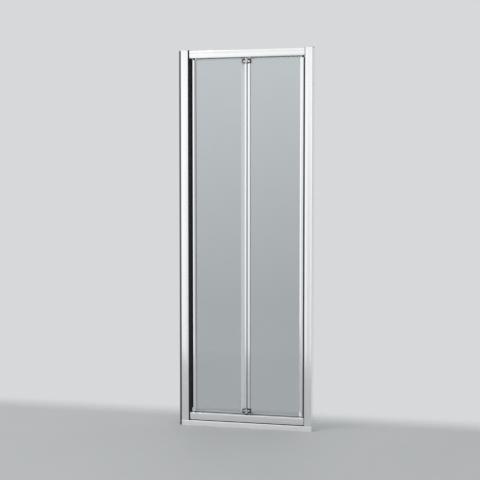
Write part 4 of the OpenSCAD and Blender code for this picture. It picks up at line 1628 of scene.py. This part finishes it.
@dataclass
class Studio:
    """Floor, surrounding light, lamp and camera, in metres.

    The levels give the light over the height of a direction, the bands and the flanks over its X.
    """

    eye: Triple = (1.1851, -5.0442, 1.2118)
    yaw: float = -0.236468
    pitch: float = -0.055536
    lens: float = 79.6
    floor_half: float = 4.0
    floor_tone: Triple = (0.485, 0.495, 0.50)
    floor_rims: tuple[tuple[str, float, float], ...] = (
        ("Y", -1.55, -2.4), ("Y", 0.1, 0.45), ("X", -1.9, -3.6), ("X", 1.9, 3.6),
    )
    backdrop: Triple = (0.675, 0.69, 0.70)
    lamp_place: Triple = (-2.2, -2.6, 3.6)
    lamp_aim: Triple = (0.0, 0.0, 0.7)
    lamp_power: float = 42.0
    levels: tuple[tuple[float, float], ...] = (
        (-1.0, 0.62), (-0.28, 0.78), (-0.17, 0.88), (-0.12, 0.93), (-0.07, 0.985), (-0.02, 1.03),
        (0.04, 1.06), (0.10, 1.06), (0.125, 0.98), (0.165, 0.83), (0.215, 0.86), (0.29, 1.0), (0.4, 1.0),
        (1.0, 0.86),
    )
    bands: tuple[tuple[float, float], ...] = (
        (-1.0, 1.0), (-0.6, 1.0), (-0.4, 1.0), (-0.285, 0.99), (-0.23, 0.93), (-0.19, 0.78),
        (-0.165, 0.68), (-0.13, 0.72), (-0.09, 0.86), (-0.05, 0.95), (0.0, 0.99), (1.0, 1.0),
    )
    flanks: tuple[tuple[float, float], ...] = (
        (-1.0, 1.0), (-0.8, 1.0), (-0.5, 1.0), (0.52, 1.0), (0.64, 0.9), (0.74, 0.42), (0.85, 0.28),
        (1.0, 0.22),
    )

    def build(self) -> None:
        """Builds the floor, the world, the lamp and the camera."""
        self._floor()
        self._world()
        self._lamp()
        self._camera()
        LOG.info("studio: floor, world, lamp and camera")

    def _floor(self) -> None:
        """A pale floor that fades into the surrounding light towards its rim."""
        half = self.floor_half
        mesh = bpy.data.meshes.new("studio_floor")
        mesh.from_pydata(
            [(-half, -half, 0), (half, -half, 0), (half, half, 0), (-half, half, 0)], [], [(0, 1, 2, 3)]
        )
        floor = bpy.data.objects.new("studio_floor", mesh)
        bpy.context.scene.collection.objects.link(floor)
        made = bpy.data.materials.new("studio_floor")
        made.use_nodes = True
        graph = Graph(made.node_tree)
        place = graph.add("TexCoord").outputs["Object"]
        pattern = graph.add("TexNoise", {"Vector": place, "Scale": 2.2, "Detail": 6.0}).outputs[0]
        darker, lighter = (tuple(c * part for c in self.floor_tone) for part in (0.96, 1.04))
        tone = graph.mix(pattern, darker, lighter)
        shader = graph.fill(made.node_tree.nodes["Principled BSDF"], {"Roughness": 0.6, "Base Color": tone})
        split = graph.add("SeparateXYZ", {0: place}).outputs
        rim, *edges = [graph.remap(split[line], *ends, smooth=True) for line, *ends in self.floor_rims]
        for edge in edges:
            rim = graph.add("Math", {0: rim, 1: edge}, operation="MAXIMUM").outputs[0]
        graph.see_through(rim, shader.outputs[0])
        mesh.materials.append(made)

    def _world(self) -> None:
        """Surrounding light: pale behind the door, brighter in front of it and towards the top.

        Directions are read from the world's own coordinates. In front, a soft darker band stands a
        little to the left, which gives the polished faces their shading from side to side, and the
        right flank is dark, which draws the edges that turn that way.
        """
        world = bpy.data.worlds.new("studio_world")
        bpy.context.scene.world = world
        world.use_nodes = True
        graph = Graph(world.node_tree)
        split = graph.add("SeparateXYZ", {0: graph.add("TexCoord").outputs["Generated"]}).outputs
        height = self._ramp(graph, split["Z"], self.levels)
        band = self._ramp(graph, split["X"], self.bands)
        flank = self._ramp(graph, split["X"], self.flanks)
        low = graph.remap(split["Z"], 0.16, -0.04, smooth=True)
        front = graph.mix(low, height, band, "MULTIPLY")
        front = graph.mix(1.0, front, flank, "MULTIPLY")
        ahead = graph.remap(split["Y"], 0.5, 0.0, smooth=True)
        light = graph.mix(ahead, self.backdrop, front)
        graph.fill(world.node_tree.nodes["Background"], {"Color": light, "Strength": 1.0})

    @staticmethod
    def _ramp(graph: Graph, value: Socket, stops: Sequence[tuple[float, float]]) -> Socket:
        """Grey levels over a direction component from -1 to 1.

        Args:
            graph: Node tree of the world.
            value: Socket of the component.
            stops: Pairs of component and level.

        Returns:
            The socket of the grey.
        """
        ramp = graph.add("ValToRGB", {"Fac": graph.remap(value, -1.0, 1.0)})
        ramp.color_ramp.interpolation = "EASE"
        elements = ramp.color_ramp.elements
        for _ in stops[2:]:
            elements.new(0.5)
        for element, (place, level) in zip(elements, stops):
            element.position = (place + 1) / 2
            element.color = (level, level * 1.004, level * 1.01, 1)
        return ramp.outputs["Color"]

    def _lamp(self) -> None:
        """One wide soft lamp high in front on the left, which gives the floor its soft shadow."""
        lamp = bpy.data.lights.new("soft_lamp", "AREA")
        lamp.shape = "RECTANGLE"
        lamp.size, lamp.size_y = 2.4, 1.6
        lamp.energy = self.lamp_power
        made = bpy.data.objects.new("soft_lamp", lamp)
        self._aim(made, self.lamp_place, Vector(self.lamp_aim) - Vector(self.lamp_place))

    def _camera(self) -> None:
        """Camera at the viewing angle of the photograph."""
        data = bpy.data.cameras.new("camera")
        data.lens, data.sensor_width = self.lens, 36.0
        data.clip_start, data.clip_end = 0.05, 60.0
        camera = bpy.data.objects.new("camera", data)
        level = math.cos(self.pitch)
        ahead = Vector((math.sin(self.yaw) * level, math.cos(self.yaw) * level, math.sin(self.pitch)))
        self._aim(camera, self.eye, ahead)
        bpy.context.scene.camera = camera

    @staticmethod
    def _aim(made: bpy.types.Object, place: Triple, ahead: Vector) -> None:
        """Links a lamp or camera into the scene.

        Args:
            made: The lamp or camera.
            place: Where it stands.
            ahead: Direction in which it looks.
        """
        made.location = place
        made.rotation_euler = ahead.to_track_quat("-Z", "Y").to_euler()
        bpy.context.scene.collection.objects.link(made)


def main() -> None:
    """Builds the door and its studio."""
    logging.basicConfig(level=logging.INFO, format="%(name)s: %(message)s")
    layout = Layout.from_frame()
    dress_nodes()
    DoorFrame(layout).build()
    Leaf(layout, Side.LEFT).build()
    Leaf(layout, Side.RIGHT, stile_width=18.5, bead_outer=14.0, bead_pocket=6.4).build()
    Hinges(layout).build()
    GuideRollers().build()
    Studio().build()
    bpy.context.scene.view_settings.view_transform = "Standard"


if __name__ == "__main__":
    main()
